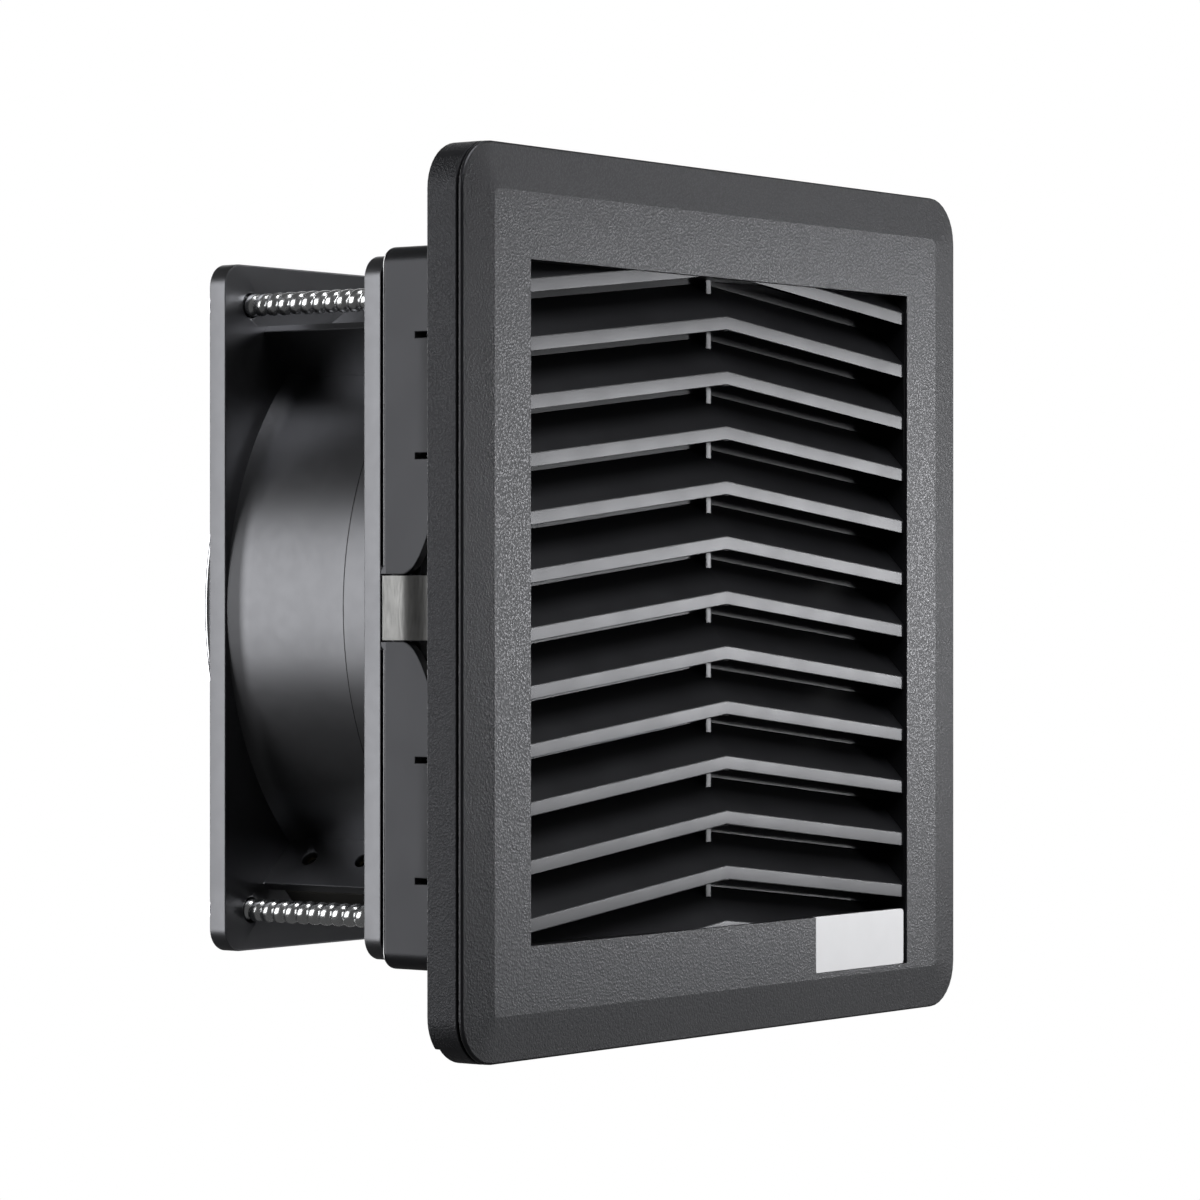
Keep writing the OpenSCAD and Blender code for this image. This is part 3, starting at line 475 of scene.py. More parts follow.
@dataclass(frozen=True)
class LoftedFibre(Finish):
    """White fibre, matted at random."""

    strand: float = 0.35 * MM

    def material(self) -> bpy.types.Material:
        """Makes the fibre, with strands that run two ways and dust in patches."""
        tree = ShaderTree(self.name)
        across = tree.noise(self.strand, detail=4.0, stretch=(0.15, 1.0, 1.0), warp=1.5)
        upright = tree.noise(self.strand, detail=4.0, stretch=(1.0, 1.0, 0.15), warp=1.5)
        web = tree.math("MAXIMUM", across, upright)
        tuft = tree.noise(6 * MM, detail=4.0)
        dust = tuple(0.8 * c for c in self.colour)
        colour = tree.blend(tree.spread(tuft, 0.0, 0.7), self.colour, dust)
        normal = tree.bump(web, 0.35 * MM, 0.8, tree.bump(tuft, 0.8 * MM, 0.5))
        rough = tree.spread(web, self.rough - 0.08, self.rough)
        return tree.finish(Base_Color=colour, Roughness=rough, Normal=normal, Sheen_Weight=0.35,
                           Sheen_Roughness=0.6, Subsurface_Weight=0.15,
                           Subsurface_Radius=(0.002, 0.002, 0.002))


@dataclass(frozen=True)
class FoamCells(Finish):
    """Closed cell foam."""

    cell: float = 0.5 * MM

    def material(self) -> bpy.types.Material:
        """Makes the foam, with its cut cells."""
        tree = ShaderTree(self.name)
        cells = tree.pebbles(self.cell, smooth=0.15, wander=0.8)
        pale = tuple(1.6 * c for c in self.colour)
        colour = tree.blend(tree.spread(cells, 0.0, 1.0, 0.2, 0.6), self.colour, pale)
        rough = tree.spread(cells, self.rough - 0.1, self.rough)
        return tree.finish(Base_Color=colour, Roughness=rough, Normal=tree.bump(cells, 0.12 * MM))


@dataclass(frozen=True)
class GlossPlate(Finish):
    """Smooth plastic sheet."""

    def material(self) -> bpy.types.Material:
        """Makes the sheet, with a faint wave and rubbed edges."""
        tree = ShaderTree(self.name)
        wave = tree.noise(7 * MM, detail=2.0)
        grey = tuple(0.97 * c for c in self.colour)
        shade = tree.blend(tree.spread(wave, 0.0, 1.0), self.colour, grey)
        dull = tuple(0.88 * c for c in self.colour)
        colour = tree.blend(tree.math("MULTIPLY", tree.worn(2 * MM), 0.5), shade, dull)
        rough = tree.spread(tree.noise(1.5 * MM), self.rough - 0.008, self.rough + 0.008)
        return tree.finish(Base_Color=colour, Roughness=rough, Normal=tree.bump(wave, 0.002 * MM))


COOL_GLOSS = (0.915, 0.93, 1.0)
GRILLE_PLASTIC = MouldedPlastic("black_grained_plastic", (0.0068, 0.0069, 0.008), 0.34, gloss=0.5,
                                skin=Skin.FRONT, skin_rough=0.31, tint=COOL_GLOSS)
FRAME_PLASTIC = MouldedPlastic("black_frame_plastic", (0.0075, 0.0076, 0.0088), 0.38, gloss=0.53,
                               skin=Skin.RIM, skin_rough=0.4, tint=COOL_GLOSS, polish_y=20.32 * MM,
                               grain=0.38 * MM, grain_depth=0.075 * MM)
IMPELLER_PLASTIC = MouldedPlastic("black_fan_plastic", (0.006, 0.006, 0.007), 0.36, gloss=0.5,
                                  tint=COOL_GLOSS)
CREAM_PLASTIC = MouldedPlastic("cream_plastic", (0.68, 0.63, 0.5), 0.45, gloss=0.4)
BLOCK_PLASTIC = MouldedPlastic("dark_block_plastic", (0.022, 0.021, 0.018), 0.5, gloss=0.4)
FAN_PAINT = CastPaint("satin_black_paint", (0.155, 0.157, 0.166), 0.34)
GUARD_CHROME = BrightPlating("bright_chrome", (0.66, 0.67, 0.69), 0.08)
SCREW_CHROME = BrightPlating("bright_screw_plating", (0.86, 0.87, 0.88), 0.2)
SPRING_STEEL = WorkedMetal("rolled_spring_steel", (0.21, 0.21, 0.206), 0.38, lay=Lay.ALONG_Z)
GROUND_STEEL = WorkedMetal("ground_steel", (0.66, 0.66, 0.68), 0.2)
CORE_STEEL = WorkedMetal("stacked_core_steel", (0.24, 0.24, 0.26), 0.42, lay=Lay.ALONG_X, line=0.5 * MM,
                         depth=0.04 * MM)
BRASS = WorkedMetal("plain_brass", (0.72, 0.56, 0.26), 0.28, lay=Lay.ALONG_X)
WINDING = EnamelWire("enamelled_copper", (0.62, 0.28, 0.12), 0.3)
FIBRE = LoftedFibre("lofted_white_fibre", (0.84, 0.84, 0.82), 0.95)
FOAM = FoamCells("closed_cell_foam", (0.02, 0.02, 0.021), 0.85)
WHITE_PLATE = GlossPlate("smooth_white_plate", (0.91, 0.915, 0.94), 0.36)


@dataclass(frozen=True)
class Dress:
    """What a new piece is listed with: its finish, slot and body, and the nodes it stands for."""

    finish: Finish
    slot: Slot
    body: Body
    stands_for: tuple[str, ...] = ()

    def put_on(self, piece: bpy.types.Object) -> bpy.types.Object:
        """Dresses a piece and makes it ride on its body.

        Args:
            piece: the new piece, in its place.

        Returns:
            The same piece.
        """
        piece.data.materials.clear()
        piece.data.materials.append(material_of(self.finish))
        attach(piece, self.body.value)
        if self.stands_for:
            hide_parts(*self.stands_for)
        LOG.info("made %s, finish %s, on %s", piece.name, self.finish.name, self.body.value)
        return piece


def paint_node(node: str, finish: Finish) -> None:
    """Gives a CAD node its finish.

    Args:
        node: name of the node.
        finish: its new finish.
    """
    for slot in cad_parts[node].material_slots:
        slot.material = material_of(finish)
    LOG.info("painted %s, finish %s", node, finish.name)


def new_piece(name: str, points: list[Point], faces: list[Face]) -> bpy.types.Object:
    """Makes a smooth mesh piece with its sharp edges kept.

    Args:
        name: name of the piece.
        points: its corners.
        faces: its faces, by the numbers of their corners.

    Returns:
        The new piece.
    """
    mesh = bpy.data.meshes.new(name)
    mesh.from_pydata([tuple(p) for p in points], [], faces)
    mesh.validate()
    work = bmesh.new()
    work.from_mesh(mesh)
    bmesh.ops.recalc_face_normals(work, faces=work.faces[:])
    work.to_mesh(mesh)
    work.free()
    return piece_of(name, mesh)


def piece_of(name: str, mesh: bpy.types.Mesh) -> bpy.types.Object:
    """Puts a mesh in the scene, shaded smooth up to its sharp edges.

    Args:
        name: name of the piece.
        mesh: its mesh.

    Returns:
        The new piece.
    """
    for polygon in mesh.polygons:
        polygon.use_smooth = True
    mesh.set_sharp_from_angle(angle=SHARP_ANGLE)
    piece = bpy.data.objects.new(name, mesh)
    bpy.context.scene.collection.objects.link(piece)
    return piece


@dataclass
class Shape:
    """Points and faces of a mesh that grows piece by piece."""

    points: list[Point]
    faces: list[Face]

    @classmethod
    def empty(cls) -> "Shape":
        """Returns a shape with nothing in it."""
        return cls([], [])

    def add(self, other: "Shape", place: Matrix = Matrix.Identity(4)) -> None:
        """Adds another shape.

        Args:
            other: the shape to add.
            place: where it goes.
        """
        start = len(self.points)
        self.points += [tuple(place @ Vector(p)) for p in other.points]
        self.faces += [tuple(k + start for k in face) for face in other.faces]

    def rings(self, rings: list[list[Point]], closed: bool = False, capped: bool = True) -> None:
        """Joins rings of points into a skin.

        Args:
            rings: rings with the same number of points each.
            closed: whether the last ring meets the first.
            capped: whether open ends get a lid.
        """
        start = len(self.points)
        around = len(rings[0])
        self.points += [tuple(p) for ring in rings for p in ring]
        for row in range(len(rings) if closed else len(rings) - 1):
            below = start + row * around
            above = start + (row + 1) % len(rings) * around
            for k in range(around):
                nxt = (k + 1) % around
                self.faces.append((below + k, below + nxt, above + nxt, above + k))
        if capped and not closed:
            self.faces.append(tuple(start + k for k in reversed(range(around))))
            self.faces.append(tuple(start + (len(rings) - 1) * around + k for k in range(around)))

    def turned(self, profile: list[tuple[float, float]], steps: int = 96) -> None:
        """Turns a closed profile about the Y axis.

        Args:
            profile: radius and Y of each corner.
            steps: number of steps in a turn.
        """
        turn = math.tau / steps
        rings = [[(r * math.cos(k * turn), y, r * math.sin(k * turn)) for r, y in profile]
                 for k in range(steps)]
        self.rings(rings, closed=True)

    def tube(self, path: list[Point], radius: float, sides: int = 8, closed: bool = False) -> None:
        """Sweeps a round wire along a path.

        Args:
            path: points of the wire's middle.
            radius: radius of the wire.
            sides: number of sides of the wire.
            closed: whether the path is a loop.
        """
        line = [Vector(p) for p in path]
        count = len(line)
        side = Vector((0.31, 0.57, 0.76))
        rings = []
        for k, point in enumerate(line):
            before = line[(k - 1) % count] if closed or k else point
            after = line[(k + 1) % count] if closed or k < count - 1 else point
            ahead = (after - before).normalized()
            side = (side - ahead * side.dot(ahead)).normalized()
            other = ahead.cross(side)
            angles = [math.tau * s / sides for s in range(sides)]
            rings.append([point + radius * (math.cos(a) * side + math.sin(a) * other) for a in angles])
        self.rings(rings, closed=closed)

    def piece(self, name: str) -> bpy.types.Object:
        """Returns a new piece with this shape."""
        return new_piece(name, self.points, self.faces)


@dataclass(frozen=True)
class EdgeBreak:
    """Rounds the sharp outer edges of a moulded, cast or pressed piece."""

    width: float
    segments: int = 2
    angle: float = math.radians(30)

    def rounded(self, node: str, name: str) -> bpy.types.Object:
        """Makes a piece with a node's shape and rounded edges, marked for wear.

        Args:
            node: the CAD node.
            name: name of the new piece.

        Returns:
            The new piece.
        """
        work = bmesh.new()
        work.from_mesh(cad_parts[node].data)
        bmesh.ops.remove_doubles(work, verts=work.verts[:], dist=WELD)
        bmesh.ops.dissolve_limit(work, angle_limit=FLAT_ANGLE, verts=work.verts[:], edges=work.edges[:])
        wear = work.faces.layers.float.new(WEAR)
        edges = [e for e in work.edges
                 if len(e.link_faces) == 2 and e.is_convex and e.calc_face_angle(0.0) > self.angle]
        made = bmesh.ops.bevel(work, geom=edges, offset=self.width, offset_type="OFFSET", profile=0.5,
                               segments=self.segments, affect="EDGES", clamp_overlap=False, loop_slide=True)
        for face in made["faces"]:
            face[wear] = 1.0
        bmesh.ops.triangulate(work, faces=[f for f in work.faces if len(f.verts) > 4])
        mesh = bpy.data.meshes.new(name)
        work.to_mesh(mesh)
        work.free()
        if mesh.has_custom_normals:
            mesh.attributes.remove(mesh.attributes["custom_normal"])
        piece = piece_of(name, mesh)
        piece.modifiers.new("even_normals", "WEIGHTED_NORMAL").keep_sharp = True
        return piece


@dataclass
class LouvreFront:
    """The pull-off front: louvred grille and bare plate."""

    edge: float = 0.16 * MM
    plate_edge: float = 0.12 * MM
    front_y: float = -8.0 * MM
    bevel_least: float = math.radians(3)
    bevel_most: float = math.radians(15)

    def crease_flat(self, piece: bpy.types.Object) -> None:
        """Keeps the shallow edge between the flat front and its bevel crisp.

        Args:
            piece: the grille.
        """
        work = bmesh.new()
        work.from_mesh(piece.data)
        flat = {face for face in work.faces if all(v.co.y < self.front_y + WELD for v in face.verts)}
        for edge in work.edges:
            if len(edge.link_faces) == 2 and any(face in flat for face in edge.link_faces):
                if self.bevel_least < edge.calc_face_angle(0.0) < self.bevel_most:
                    edge.smooth = False
        work.to_mesh(piece.data)
        work.free()

    def build(self) -> None:
        """Rounds and dresses the grille and the plate."""
        grille = EdgeBreak(self.edge).rounded("front_grille", "louvred_front")
        self.crease_flat(grille)
        Dress(GRILLE_PLASTIC, Slot.GRILLE, Body.GRILLE, ("front_grille",)).put_on(grille)
        plate = EdgeBreak(self.plate_edge).rounded("blank_plate", "bare_white_plate")
        Dress(WHITE_PLATE, Slot.PLATE, Body.GRILLE, ("blank_plate",)).put_on(plate)


@dataclass
class SnapFrame:
    """The snap-in frame with its gasket and spring clips."""

    edge: float = 0.22 * MM
    clip_edge: float = 0.1 * MM

    def build(self) -> None:
        """Rounds and dresses the frame, the clips and the gasket."""
        body = EdgeBreak(self.edge).rounded("mounting_frame", "snap_in_frame")
        Dress(FRAME_PLASTIC, Slot.FRAME, Body.FRAME, ("mounting_frame",)).put_on(body)
        for node, side in (("left_clip", Body.LEFT_CLIP), ("right_clip", Body.RIGHT_CLIP)):
            clip = EdgeBreak(self.clip_edge).rounded(node, f"sprung_{node}")
            Dress(SPRING_STEEL, Slot.SPRING, side, (node,)).put_on(clip)
        paint_node("panel_gasket", FOAM)


@dataclass
class FilterStage:
    """The lofted filter mat on its support grid."""

    cells: int = 72
    swell: float = 0.5 * MM
    edge: float = 2.4 * MM
    fibres: int = 1500
    fibre_r: float = 0.05 * MM
    fibre_l: float = 11 * MM
    fibre_steps: int = 6
    lump_scale: float = 130
    most_sink: float = 0.45
    grid_edge: float = 0.25 * MM
    seed: int = 41

    def surface(self, u: float, v: float, front: bool) -> Point:
        """Finds a point on one face of the mat.

        Args:
            u: place across the mat, from 0 to 1.
            v: place up the mat, from 0 to 1.
            front: whether it is the front face.

        Returns:
            The point.
        """
        low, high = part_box("filter_mat")
        x = low.x + u * (high.x - low.x)
        z = low.z + v * (high.z - low.z)
        rim = min(u, 1 - u) * (high.x - low.x), min(v, 1 - v) * (high.z - low.z)
        round_off = sum(self.edge - math.sqrt(max(0.0, self.edge ** 2 - (self.edge - r) ** 2))
                        for r in rim if r < self.edge)
        lump = noise.fractal(Vector((x, 0.02 if front else 0.07, z)) * self.lump_scale, 0.9, 2.1, 4)
        sink = min(self.most_sink * (high.y - low.y), round_off) + self.swell * (0.5 + 0.5 * lump)
        return (x, low.y + sink if front else high.y - sink, z)

    def mat(self) -> bpy.types.Object:
        """Makes the mat: two lumpy faces that meet round its soft edge."""
        steps = range(self.cells + 1)
        shape = Shape.empty()
        for front in (True, False):
            start = len(shape.points)
            for row in steps:
                shape.points += [self.surface(k / self.cells, row / self.cells, front) for k in steps]
            for row in range(self.cells):
                for k in range(self.cells):
                    a = start + row * (self.cells + 1) + k
                    b = a + self.cells + 1
                    face = (a, a + 1, b + 1, b)
                    shape.faces.append(face if front else face[::-1])
        far = (self.cells + 1) ** 2
        top = self.cells * (self.cells + 1)
        border = [*range(self.cells), *range(self.cells, far, self.cells + 1)]
        border += [*range(far - 2, top - 1, -1), *range(top - self.cells - 1, 0, -self.cells - 1)]
        for here, there in zip(border, border[1:] + border[:1]):
            shape.faces.append((there, here, here + far, there + far))
        return shape.piece("lofted_filter_mat")

    def loose_fibres(self) -> bpy.types.Object:
        """Makes the fibres that lie loose on the mat's front and rear."""
        draw = random.Random(self.seed)
        low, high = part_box("filter_mat")
        width, height = high.x - low.x, high.z - low.z
        shape = Shape.empty()
        for count in range(self.fibres):
            u, v = draw.uniform(0.04, 0.96), draw.uniform(0.04, 0.96)
            angle, bend = draw.uniform(0, math.tau), draw.uniform(-2.5, 2.5)
            front = count % 3 != 0
            path = []
            for step in range(self.fibre_steps + 1):
                share = step / self.fibre_steps
                turn = angle + bend * (share - 0.5)
                reach = self.fibre_l * draw.uniform(0.7, 1.0) / self.fibre_steps
                u = min(0.97, max(0.03, u + reach * math.cos(turn) / width))
                v = min(0.97, max(0.03, v + reach * math.sin(turn) / height))
                x, y, z = self.surface(u, v, front)
                rise = self.fibre_r * (0.5 + 2.0 * math.sin(math.pi * share))
                path.append((x, y - rise if front else y + rise, z))
            shape.tube(path, self.fibre_r, sides=3)
        return shape.piece("loose_mat_fibres")

    def build(self) -> None:
        """Dresses the mat, its fibres and the grid."""
        mat = Dress(FIBRE, Slot.FIBRE, Body.FRAME, ("filter_mat",)).put_on(self.mat())
        Dress(FIBRE, Slot.FIBRE, Body.FRAME).put_on(self.loose_fibres())
        grid = EdgeBreak(self.grid_edge).rounded("support_grid", "mat_support_grid")
        Dress(FRAME_PLASTIC, Slot.FRAME, Body.FRAME, ("support_grid",)).put_on(grid)


@dataclass
class FanCase:
    """The cast fan housing and the contacts behind its lead holes."""

    edge: float = 0.3 * MM
    block_edge: float = 0.2 * MM

    def build(self) -> None:
        """Rounds and dresses the housing, the terminal block and the contacts."""
        case = EdgeBreak(self.edge).rounded("fan_housing", "cast_fan_case")
        Dress(FAN_PAINT, Slot.CASTING, Body.FRAME, ("fan_housing",)).put_on(case)
        block = EdgeBreak(self.block_edge).rounded("terminal_block", "contact_block")
        Dress(BLOCK_PLASTIC, Slot.INSULATOR, Body.FRAME, ("terminal_block",)).put_on(block)
        paint_node("contact_pins", BRASS)


@dataclass
class Motor:
    """The stator with its coils, the bearings and the turning steel."""

    wire_r: float = 0.38 * MM
    corner: float = 0.8 * MM
    poles: int = 4
    coil_start: float = 12.0 * MM
    coil_half: float = 7.7 * MM
    neck_half: float = 4.5 * MM

    def loop(self, x: float, half_y: float, half_z: float, mid_y: float) -> list[Point]:
        """Finds one turn of wire round a pole.

        Args:
            x: distance of the turn from the fan axis.
            half_y: half of the turn's depth.
            half_z: half of the turn's height.
            mid_y: middle of the turn.

        Returns:
            Points of the wire's middle.
        """
        path = []
        for quarter, (sy, sz) in enumerate(((1, 1), (-1, 1), (-1, -1), (1, -1))):
            for step in range(5):
                angle = math.radians(90 * quarter + 22.5 * step)
                y = mid_y + sy * (half_y - self.corner) + self.corner * math.cos(angle)
                z = sz * (half_z - self.corner) + self.corner * math.sin(angle)
                path.append((x, y, z))
        return path

    def coils(self) -> bpy.types.Object:
        """Makes four coils of wire in the space of the CAD coils."""
        low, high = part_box("stator_windings")
        mid_y = (low.y + high.y) / 2
        layers = int((self.coil_half - self.neck_half) / (2 * self.wire_r))
        turns = int((high.x - self.coil_start) / (2 * self.wire_r))
        pole = Shape.empty()
        for layer in range(layers):
            sunk = (2 * layer + 1) * self.wire_r
            half_y = (high.y - low.y) / 2 - sunk
            half_z = self.coil_half - sunk
            for turn in range(turns - layer % 2):
                x = self.coil_start + (2 * turn + 1 + layer % 2) * self.wire_r
                pole.tube(self.loop(x, half_y, half_z, mid_y), self.wire_r, sides=6, closed=True)
        shape = Shape.empty()
        for k in range(self.poles):
            shape.add(pole, Matrix.Rotation(math.tau * k / self.poles, 4, "Y"))
        return shape.piece("wound_coils")

    def build(self) -> None:
        """Makes the coils and dresses the rest of the motor."""
        Dress(WINDING, Slot.COPPER, Body.FRAME, ("stator_windings",)).put_on(self.coils())
        for node in ("stator_core", "rotor_ring", "rotor_cup"):
            paint_node(node, CORE_STEEL)
        for node in ("front_bearing", "rear_bearing", "shaft"):
            paint_node(node, GROUND_STEEL)
        for node in ("preload_washer", "shaft_clip"):
            paint_node(node, SPRING_STEEL)
        paint_node("stator_insulators", CREAM_PLASTIC)


@dataclass
class Impeller:
    """The hub and its lofted blades, finer than the CAD ones."""

    blades: int = 5
    hub_wall: float = 2.4 * MM
    hub_front: float = 1.6 * MM
    hub_round: float = 1.2 * MM
    root_sink: float = 0.8 * MM
    root_length: float = 21 * MM
    tip_length: float = 18 * MM
    root_pitch: float = 46
    tip_pitch: float = 28
    root_thick: float = 2.6 * MM
    tip_thick: float = 1.5 * MM
    camber: float = 0.07
    sweep: float = 9
    stations: int = 22
    section_points: int = 22

    def section(self, share: float, root_r: float, tip_r: float, mid_y: float) -> list[Point]:
        """Finds one section of a blade, wrapped on a cylinder.

        Args:
            share: place from the root, 0, to the tip, 1.
            root_r: radius of the root.
            tip_r: radius of the tip.
            mid_y: middle of the blade.

        Returns:
            Points round the section.
        """
        radius = root_r + share * (tip_r - root_r)
        pitch = math.radians(self.root_pitch + share * (self.tip_pitch - self.root_pitch))
        chord = (self.root_length + share * (self.tip_length - self.root_length)) / math.sin(pitch)
        thick = self.root_thick + share * (self.tip_thick - self.root_thick)
        lead = math.radians(self.sweep * share * share)
        points = []
        for k in range(2 * self.section_points):
            way = math.pi * k / self.section_points
            u = 0.5 - 0.5 * math.cos(way)
            side = 1 if k < self.section_points else -1
            along = (u - 0.5) * chord
            hollow = u * (1 - u)
            off = 4 * self.camber * chord * hollow + side * thick * math.sqrt(hollow)
            around = along * math.cos(pitch) - off * math.sin(pitch)
            up = along * math.sin(pitch) + off * math.cos(pitch)
            angle = lead + around / radius
            points.append((radius * math.cos(angle), mid_y + up, radius * math.sin(angle)))
        return points

    def build(self) -> None:
        """Makes the hub and the blades in the place of the CAD impeller."""
        low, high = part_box("impeller")
        cup_low, cup_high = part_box("rotor_cup")
        hub_r = cup_high.x + self.hub_wall
        arc = [math.radians(90 - 10 * k) for k in range(10)]
        rounding = [(hub_r - self.hub_round * (1 - math.cos(a)), low.y + self.hub_round * (1 - math.sin(a)))
                    for a in arc]
        shape = Shape.empty()
        shape.turned([(AXIS_R, low.y), *rounding, (hub_r, high.y), (cup_high.x, high.y),
                      (cup_high.x, cup_low.y), (AXIS_R, cup_low.y)])
        mid_y = (cup_low.y + cup_high.y) / 2
        blade = Shape.empty()
        rings = [self.section(s / (self.stations - 1), hub_r - self.root_sink, high.x, mid_y)
                 for s in range(self.stations)]
        blade.rings([ring[::-1] for ring in rings])
        for k in range(self.blades):
            shape.add(blade, Matrix.Rotation(math.tau * k / self.blades, 4, "Y"))
        piece = shape.piece("bladed_impeller")
        Dress(IMPELLER_PLASTIC, Slot.IMPELLER, Body.ROTOR, ("impeller",)).put_on(piece)


@dataclass
class GuardSet:
    """The wire guard and the long screws that hold it and the fan."""

    head_d: float = 7.4 * MM
    head_h: float = 2.4 * MM
    head_edge: float = 0.1 * MM
    head_sink: float = 0.05 * MM
    first_turn: float = 25
    next_turn: float = 70
    shank_r: float = 2.0 * MM
    root_r: float = 1.55 * MM
    pitch: float = 2.6 * MM
    ridge_half: float = 0.45
    around: int = 36
    rows_per_turn: int = 14
    recess_w: float = 0.95 * MM
    recess_l: float = 4.2 * MM
    recess_depth: float = 1.5 * MM
    recess_flank: float = 0.9
    recess_ends: tuple[float, float] = (0.55, 1.1)
    cut_over: float = 0.5 * MM

    def thread(self, start: float, end: float) -> list[list[Point]]:
        """Finds the rings of a threaded shank about the Y axis.

        Args:
            start: Y of the tip.
            end: Y under the head.

        Returns:
            Rings of points from tip to head.
        """
        count = int((end - start) / self.pitch * self.rows_per_turn)
        rings = []
        for row in range(count + 1):
            y = start + (end - start) * row / count
            fade = min(1.0, (y - start) / self.pitch, max(0.0, (end - y) / self.pitch))
            ring = []
            for k in range(self.around):
                angle = math.tau * k / self.around
                phase = (y / self.pitch - k / self.around) % 1.0
                ridge = max(0.0, 1 - abs(phase - 0.5) / self.ridge_half)
                crest = 1 - (1 - ridge) ** 3
                radius = self.root_r + (self.shank_r - self.root_r) * crest * fade
                ring.append((radius * math.cos(angle), y, radius * math.sin(angle)))
            rings.append(ring[::-1])
        return rings

    def head(self, base: float) -> bpy.types.Mesh:
        """Makes a pan head with a cross recess, about the Y axis.

        Args:
            base: Y of the head's underside.

        Returns:
            The head's mesh.
        """
        head_r = self.head_d / 2
        side_h = self.head_h / 3
        top = base + self.head_h
        arc = [math.radians(9 * k) for k in range(10)]
        crown = [(head_r * math.cos(a), base + side_h + (self.head_h - side_h) * math.sin(a)) for a in arc]
        shape = Shape.empty()
        shape.turned([(AXIS_R, base), (head_r - self.head_edge, base), (head_r, base + self.head_edge),
                      *crown, (AXIS_R, top)], steps=48)
        head = shape.piece("head_blank")
        cutter = Shape.empty()
        for wide, high in ((self.recess_l, self.recess_w), (self.recess_w, self.recess_l)):
            rings = []
            for y, share in zip((top - self.recess_depth, top + self.cut_over), self.recess_ends):
                half_x = wide / 2 * (share if wide > high else self.recess_flank)
                half_z = high / 2 * (share if high > wide else self.recess_flank)
                rings.append([(half_x, y, -half_z), (half_x, y, half_z), (-half_x, y, half_z),
                              (-half_x, y, -half_z)][::-1])
            cutter.rings(rings)
        tool = cutter.piece("recess_cutter")
        cut = head.modifiers.new("recess", "BOOLEAN")
        cut.object, cut.operation, cut.solver, cut.use_self = tool, "DIFFERENCE", "EXACT", True
        graph = bpy.context.evaluated_depsgraph_get()
        mesh = bpy.data.meshes.new_from_object(head.evaluated_get(graph))
        for scrap in (head, tool):
            bpy.data.objects.remove(scrap)
        return mesh

    def screws(self) -> bpy.types.Object:
        """Makes the four threaded screws."""
        low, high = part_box("fan_screws")
        base = high.y - self.head_h
        at = high.x - self.head_d / 2
        one = Shape.empty()
        one.rings(self.thread(low.y, base + self.head_sink))
        head = self.head(base)
        one.add(Shape([tuple(v.co) for v in head.vertices], [tuple(p.vertices) for p in head.polygons]))
        shape = Shape.empty()
        for k, (x, z) in enumerate(((-at, -at), (at, -at), (at, at), (-at, at))):
            turn = Matrix.Rotation(math.radians(self.first_turn + self.next_turn * k), 4, "Y")
            shape.add(one, Matrix.Translation((x, 0, z)) @ turn)
        return shape.piece("threaded_fan_screws")

    def build(self) -> None:
        """Makes the screws and dresses the guard."""
        Dress(SCREW_CHROME, Slot.SCREW, Body.FRAME, ("fan_screws",)).put_on(self.screws())
        paint_node("finger_guard", GUARD_CHROME)


@dataclass(frozen=True)
class Softbox:
    """A rectangular studio light that faces the fan."""

    name: str
    azimuth: float
    elevation: float
    distance: float
    width: float
    height: float
    brightness: float

    def hang(self) -> None:
        """Hangs the light, measured from straight in front of the louvres towards +X."""
        turn, rise = math.radians(self.azimuth), math.radians(self.elevation)
        way = Vector((math.sin(turn) * math.cos(rise), -math.cos(turn) * math.cos(rise), math.sin(rise)))
        lamp = bpy.data.lights.new(self.name, "AREA")
        lamp.shape, lamp.size, lamp.size_y = "RECTANGLE", self.width, self.height
        lamp.energy = self.brightness * math.pi * self.width * self.height
        light = bpy.data.objects.new(self.name, lamp)
        light.location = way * self.distance
        light.rotation_euler = way.to_track_quat("Z", "Y").to_euler()
        bpy.context.scene.collection.objects.link(light)


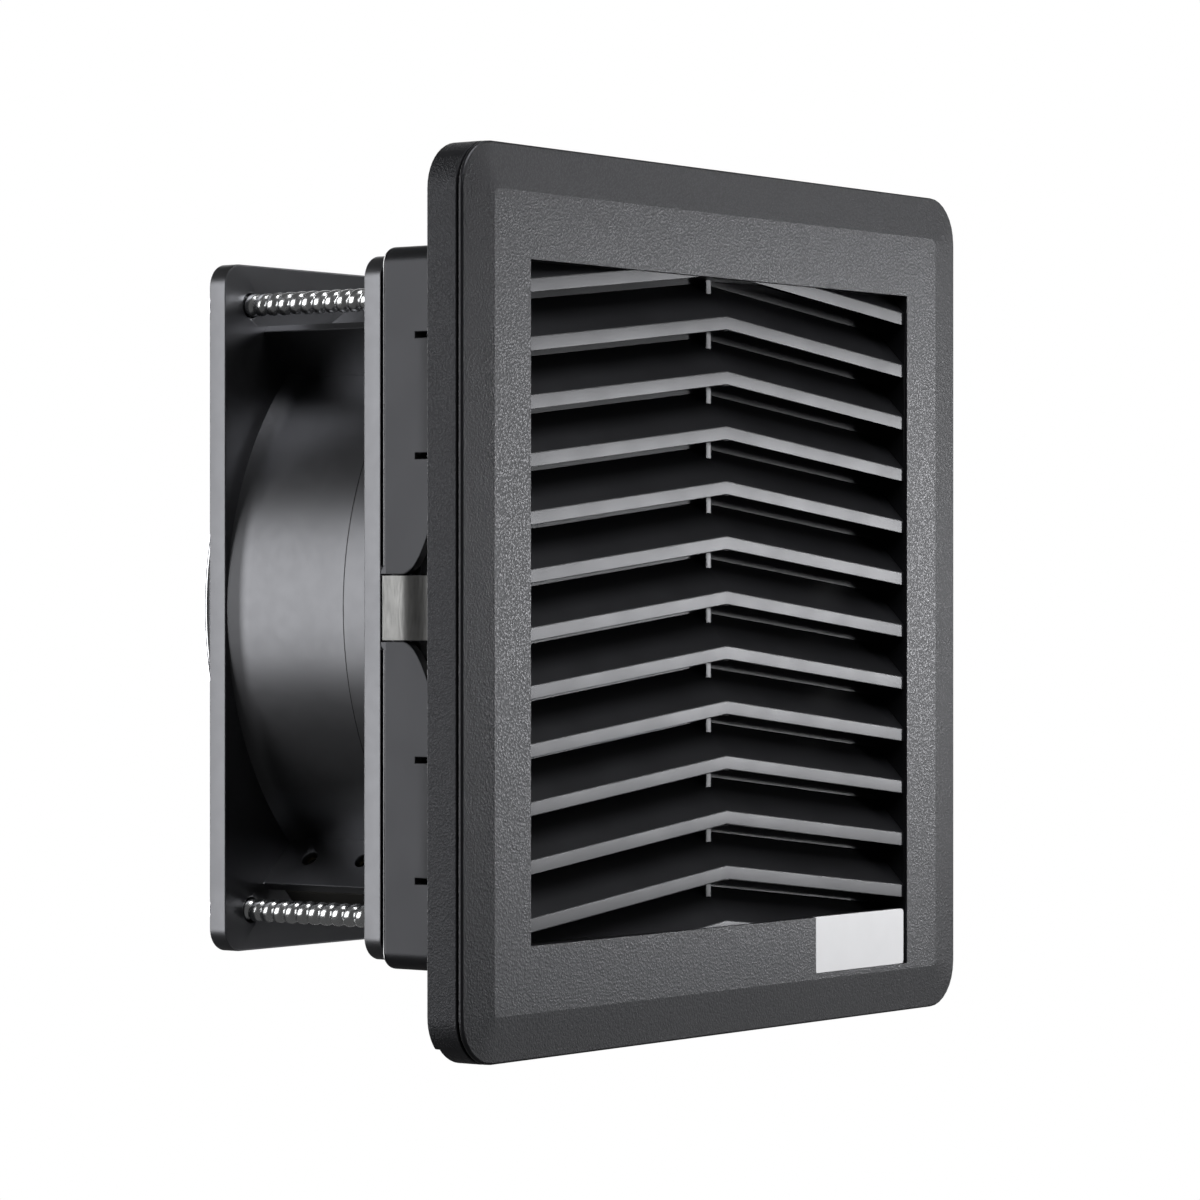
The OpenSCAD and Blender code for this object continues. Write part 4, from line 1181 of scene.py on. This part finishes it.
@dataclass
class Studio:
    """The camera, the soft lights, the white backdrop and the pale floor."""

    lens: float = 139.10
    sensor: float = 36.0
    camera_turn: float = -53.917
    camera_place: Point = (-0.66792, -0.46666, 0.00134)
    room: float = 0.08
    white_inside: float = math.cos(math.radians(16))
    white_outside: float = math.cos(math.radians(42))
    floor_z: float = -0.8
    floor_hub: float = 0.02
    floor_r: float = 2.6
    floor_steps: int = 96
    floor_near: float = 0.25
    floor_fade: float = 0.8
    floor_pale: float = 0.8
    floor_glow: float = 0.55
    boxes: tuple[Softbox, ...] = (
        Softbox("right_front_box", 56.1, 0.7, 1.3, 0.2, 0.16, 34.0),
        Softbox("right_upper_box", 57, 20, 1.3, 0.4, 0.16, 4.4),
        Softbox("right_lower_box", 57, -20, 1.3, 0.4, 0.16, 2.6),
        Softbox("left_rear_box", -124, 4, 1.2, 0.62, 0.84, 3.05),
        Softbox("rear_strip", 176, 4, 1.4, 0.8, 1.2, 6.0),
        Softbox("front_top_box", -10, 58, 1.3, 1.2, 0.9, 5.6),
    )

    def camera(self) -> None:
        """Sets the camera where the photograph was taken."""
        data = bpy.data.cameras.new("photo_camera")
        data.lens, data.sensor_width, data.sensor_fit = self.lens, self.sensor, "HORIZONTAL"
        data.clip_start, data.clip_end = 0.01, 100.0
        camera = bpy.data.objects.new("photo_camera", data)
        camera.location = self.camera_place
        camera.rotation_euler = (math.radians(90), 0.0, math.radians(self.camera_turn))
        bpy.context.scene.collection.objects.link(camera)
        bpy.context.scene.camera = camera

    def sky(self) -> None:
        """Makes a grey room with a white backdrop behind the fan, and all round for the camera itself."""
        world = bpy.data.worlds.new("studio_room")
        world.use_nodes = True
        bpy.context.scene.world = world
        nodes = NodeSet(world.node_tree)
        turn = math.radians(-self.camera_turn)
        way = nodes.node("ShaderNodeTexCoord", {}).outputs["Generated"]
        forward = (math.sin(turn), math.cos(turn), 0.0)
        ahead = nodes.node("ShaderNodeVectorMath", {0: way, 1: forward},
                           operation="DOT_PRODUCT").outputs["Value"]
        backdrop = nodes.spread(ahead, self.room, 1.0, self.white_outside, self.white_inside)
        background = world.node_tree.nodes["Background"].inputs
        nodes.feed(background["Strength"], nodes.math("MAXIMUM", backdrop, nodes.camera_ray()))
        nodes.feed(background["Color"], (1.0, 1.0, 1.0, 1.0))

    def floor(self) -> None:
        """Lays a pale round floor that runs into the backdrop."""
        shape = Shape.empty()
        turns = [math.tau * k / self.floor_steps for k in range(self.floor_steps)]
        shape.rings([[(r * math.cos(a), r * math.sin(a), self.floor_z) for a in turns]
                     for r in (self.floor_hub, self.floor_near, self.floor_r)], capped=False)
        floor = shape.piece("pale_floor")
        tree = ShaderTree("pale_floor")
        reach = tree.node("ShaderNodeVectorMath", {0: tree.place}, operation="LENGTH").outputs["Value"]
        fade = {"start": self.floor_near, "end": self.floor_fade}
        white = tree.spread(reach, self.floor_glow, 1.0, **fade)
        grey_glow = tree.spread(reach, 0.0, self.room, **fade)
        glow = tree.node("ShaderNodeMix", {0: tree.camera_ray(), 2: grey_glow, 3: white}).outputs[0]
        shade = tree.spread(reach, self.floor_pale, 0.0, **fade)
        grey = tree.node("ShaderNodeCombineColor", {0: shade, 1: shade, 2: shade}).outputs[0]
        floor.data.materials.append(tree.finish(Base_Color=grey, Roughness=0.9, Specular_IOR_Level=0.0,
                                                Emission_Color=(1.0, 1.0, 1.0), Emission_Strength=glow))

    def build(self) -> None:
        """Sets up the studio."""
        bpy.context.scene.view_settings.view_transform = "Standard"
        self.camera()
        self.sky()
        self.floor()
        for box in self.boxes:
            box.hang()
        LOG.info("studio ready with %d lights", len(self.boxes))


def main() -> None:
    """Builds the sub-assemblies in order, then the studio."""
    logging.basicConfig(level=logging.INFO, format="%(name)s: %(message)s")
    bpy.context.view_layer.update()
    assemblies = (LouvreFront(), SnapFrame(), FilterStage(), FanCase(), Motor(), Impeller(), GuardSet())
    for assembly in assemblies:
        assembly.build()
    Studio().build()


if __name__ == "__main__":
    main()
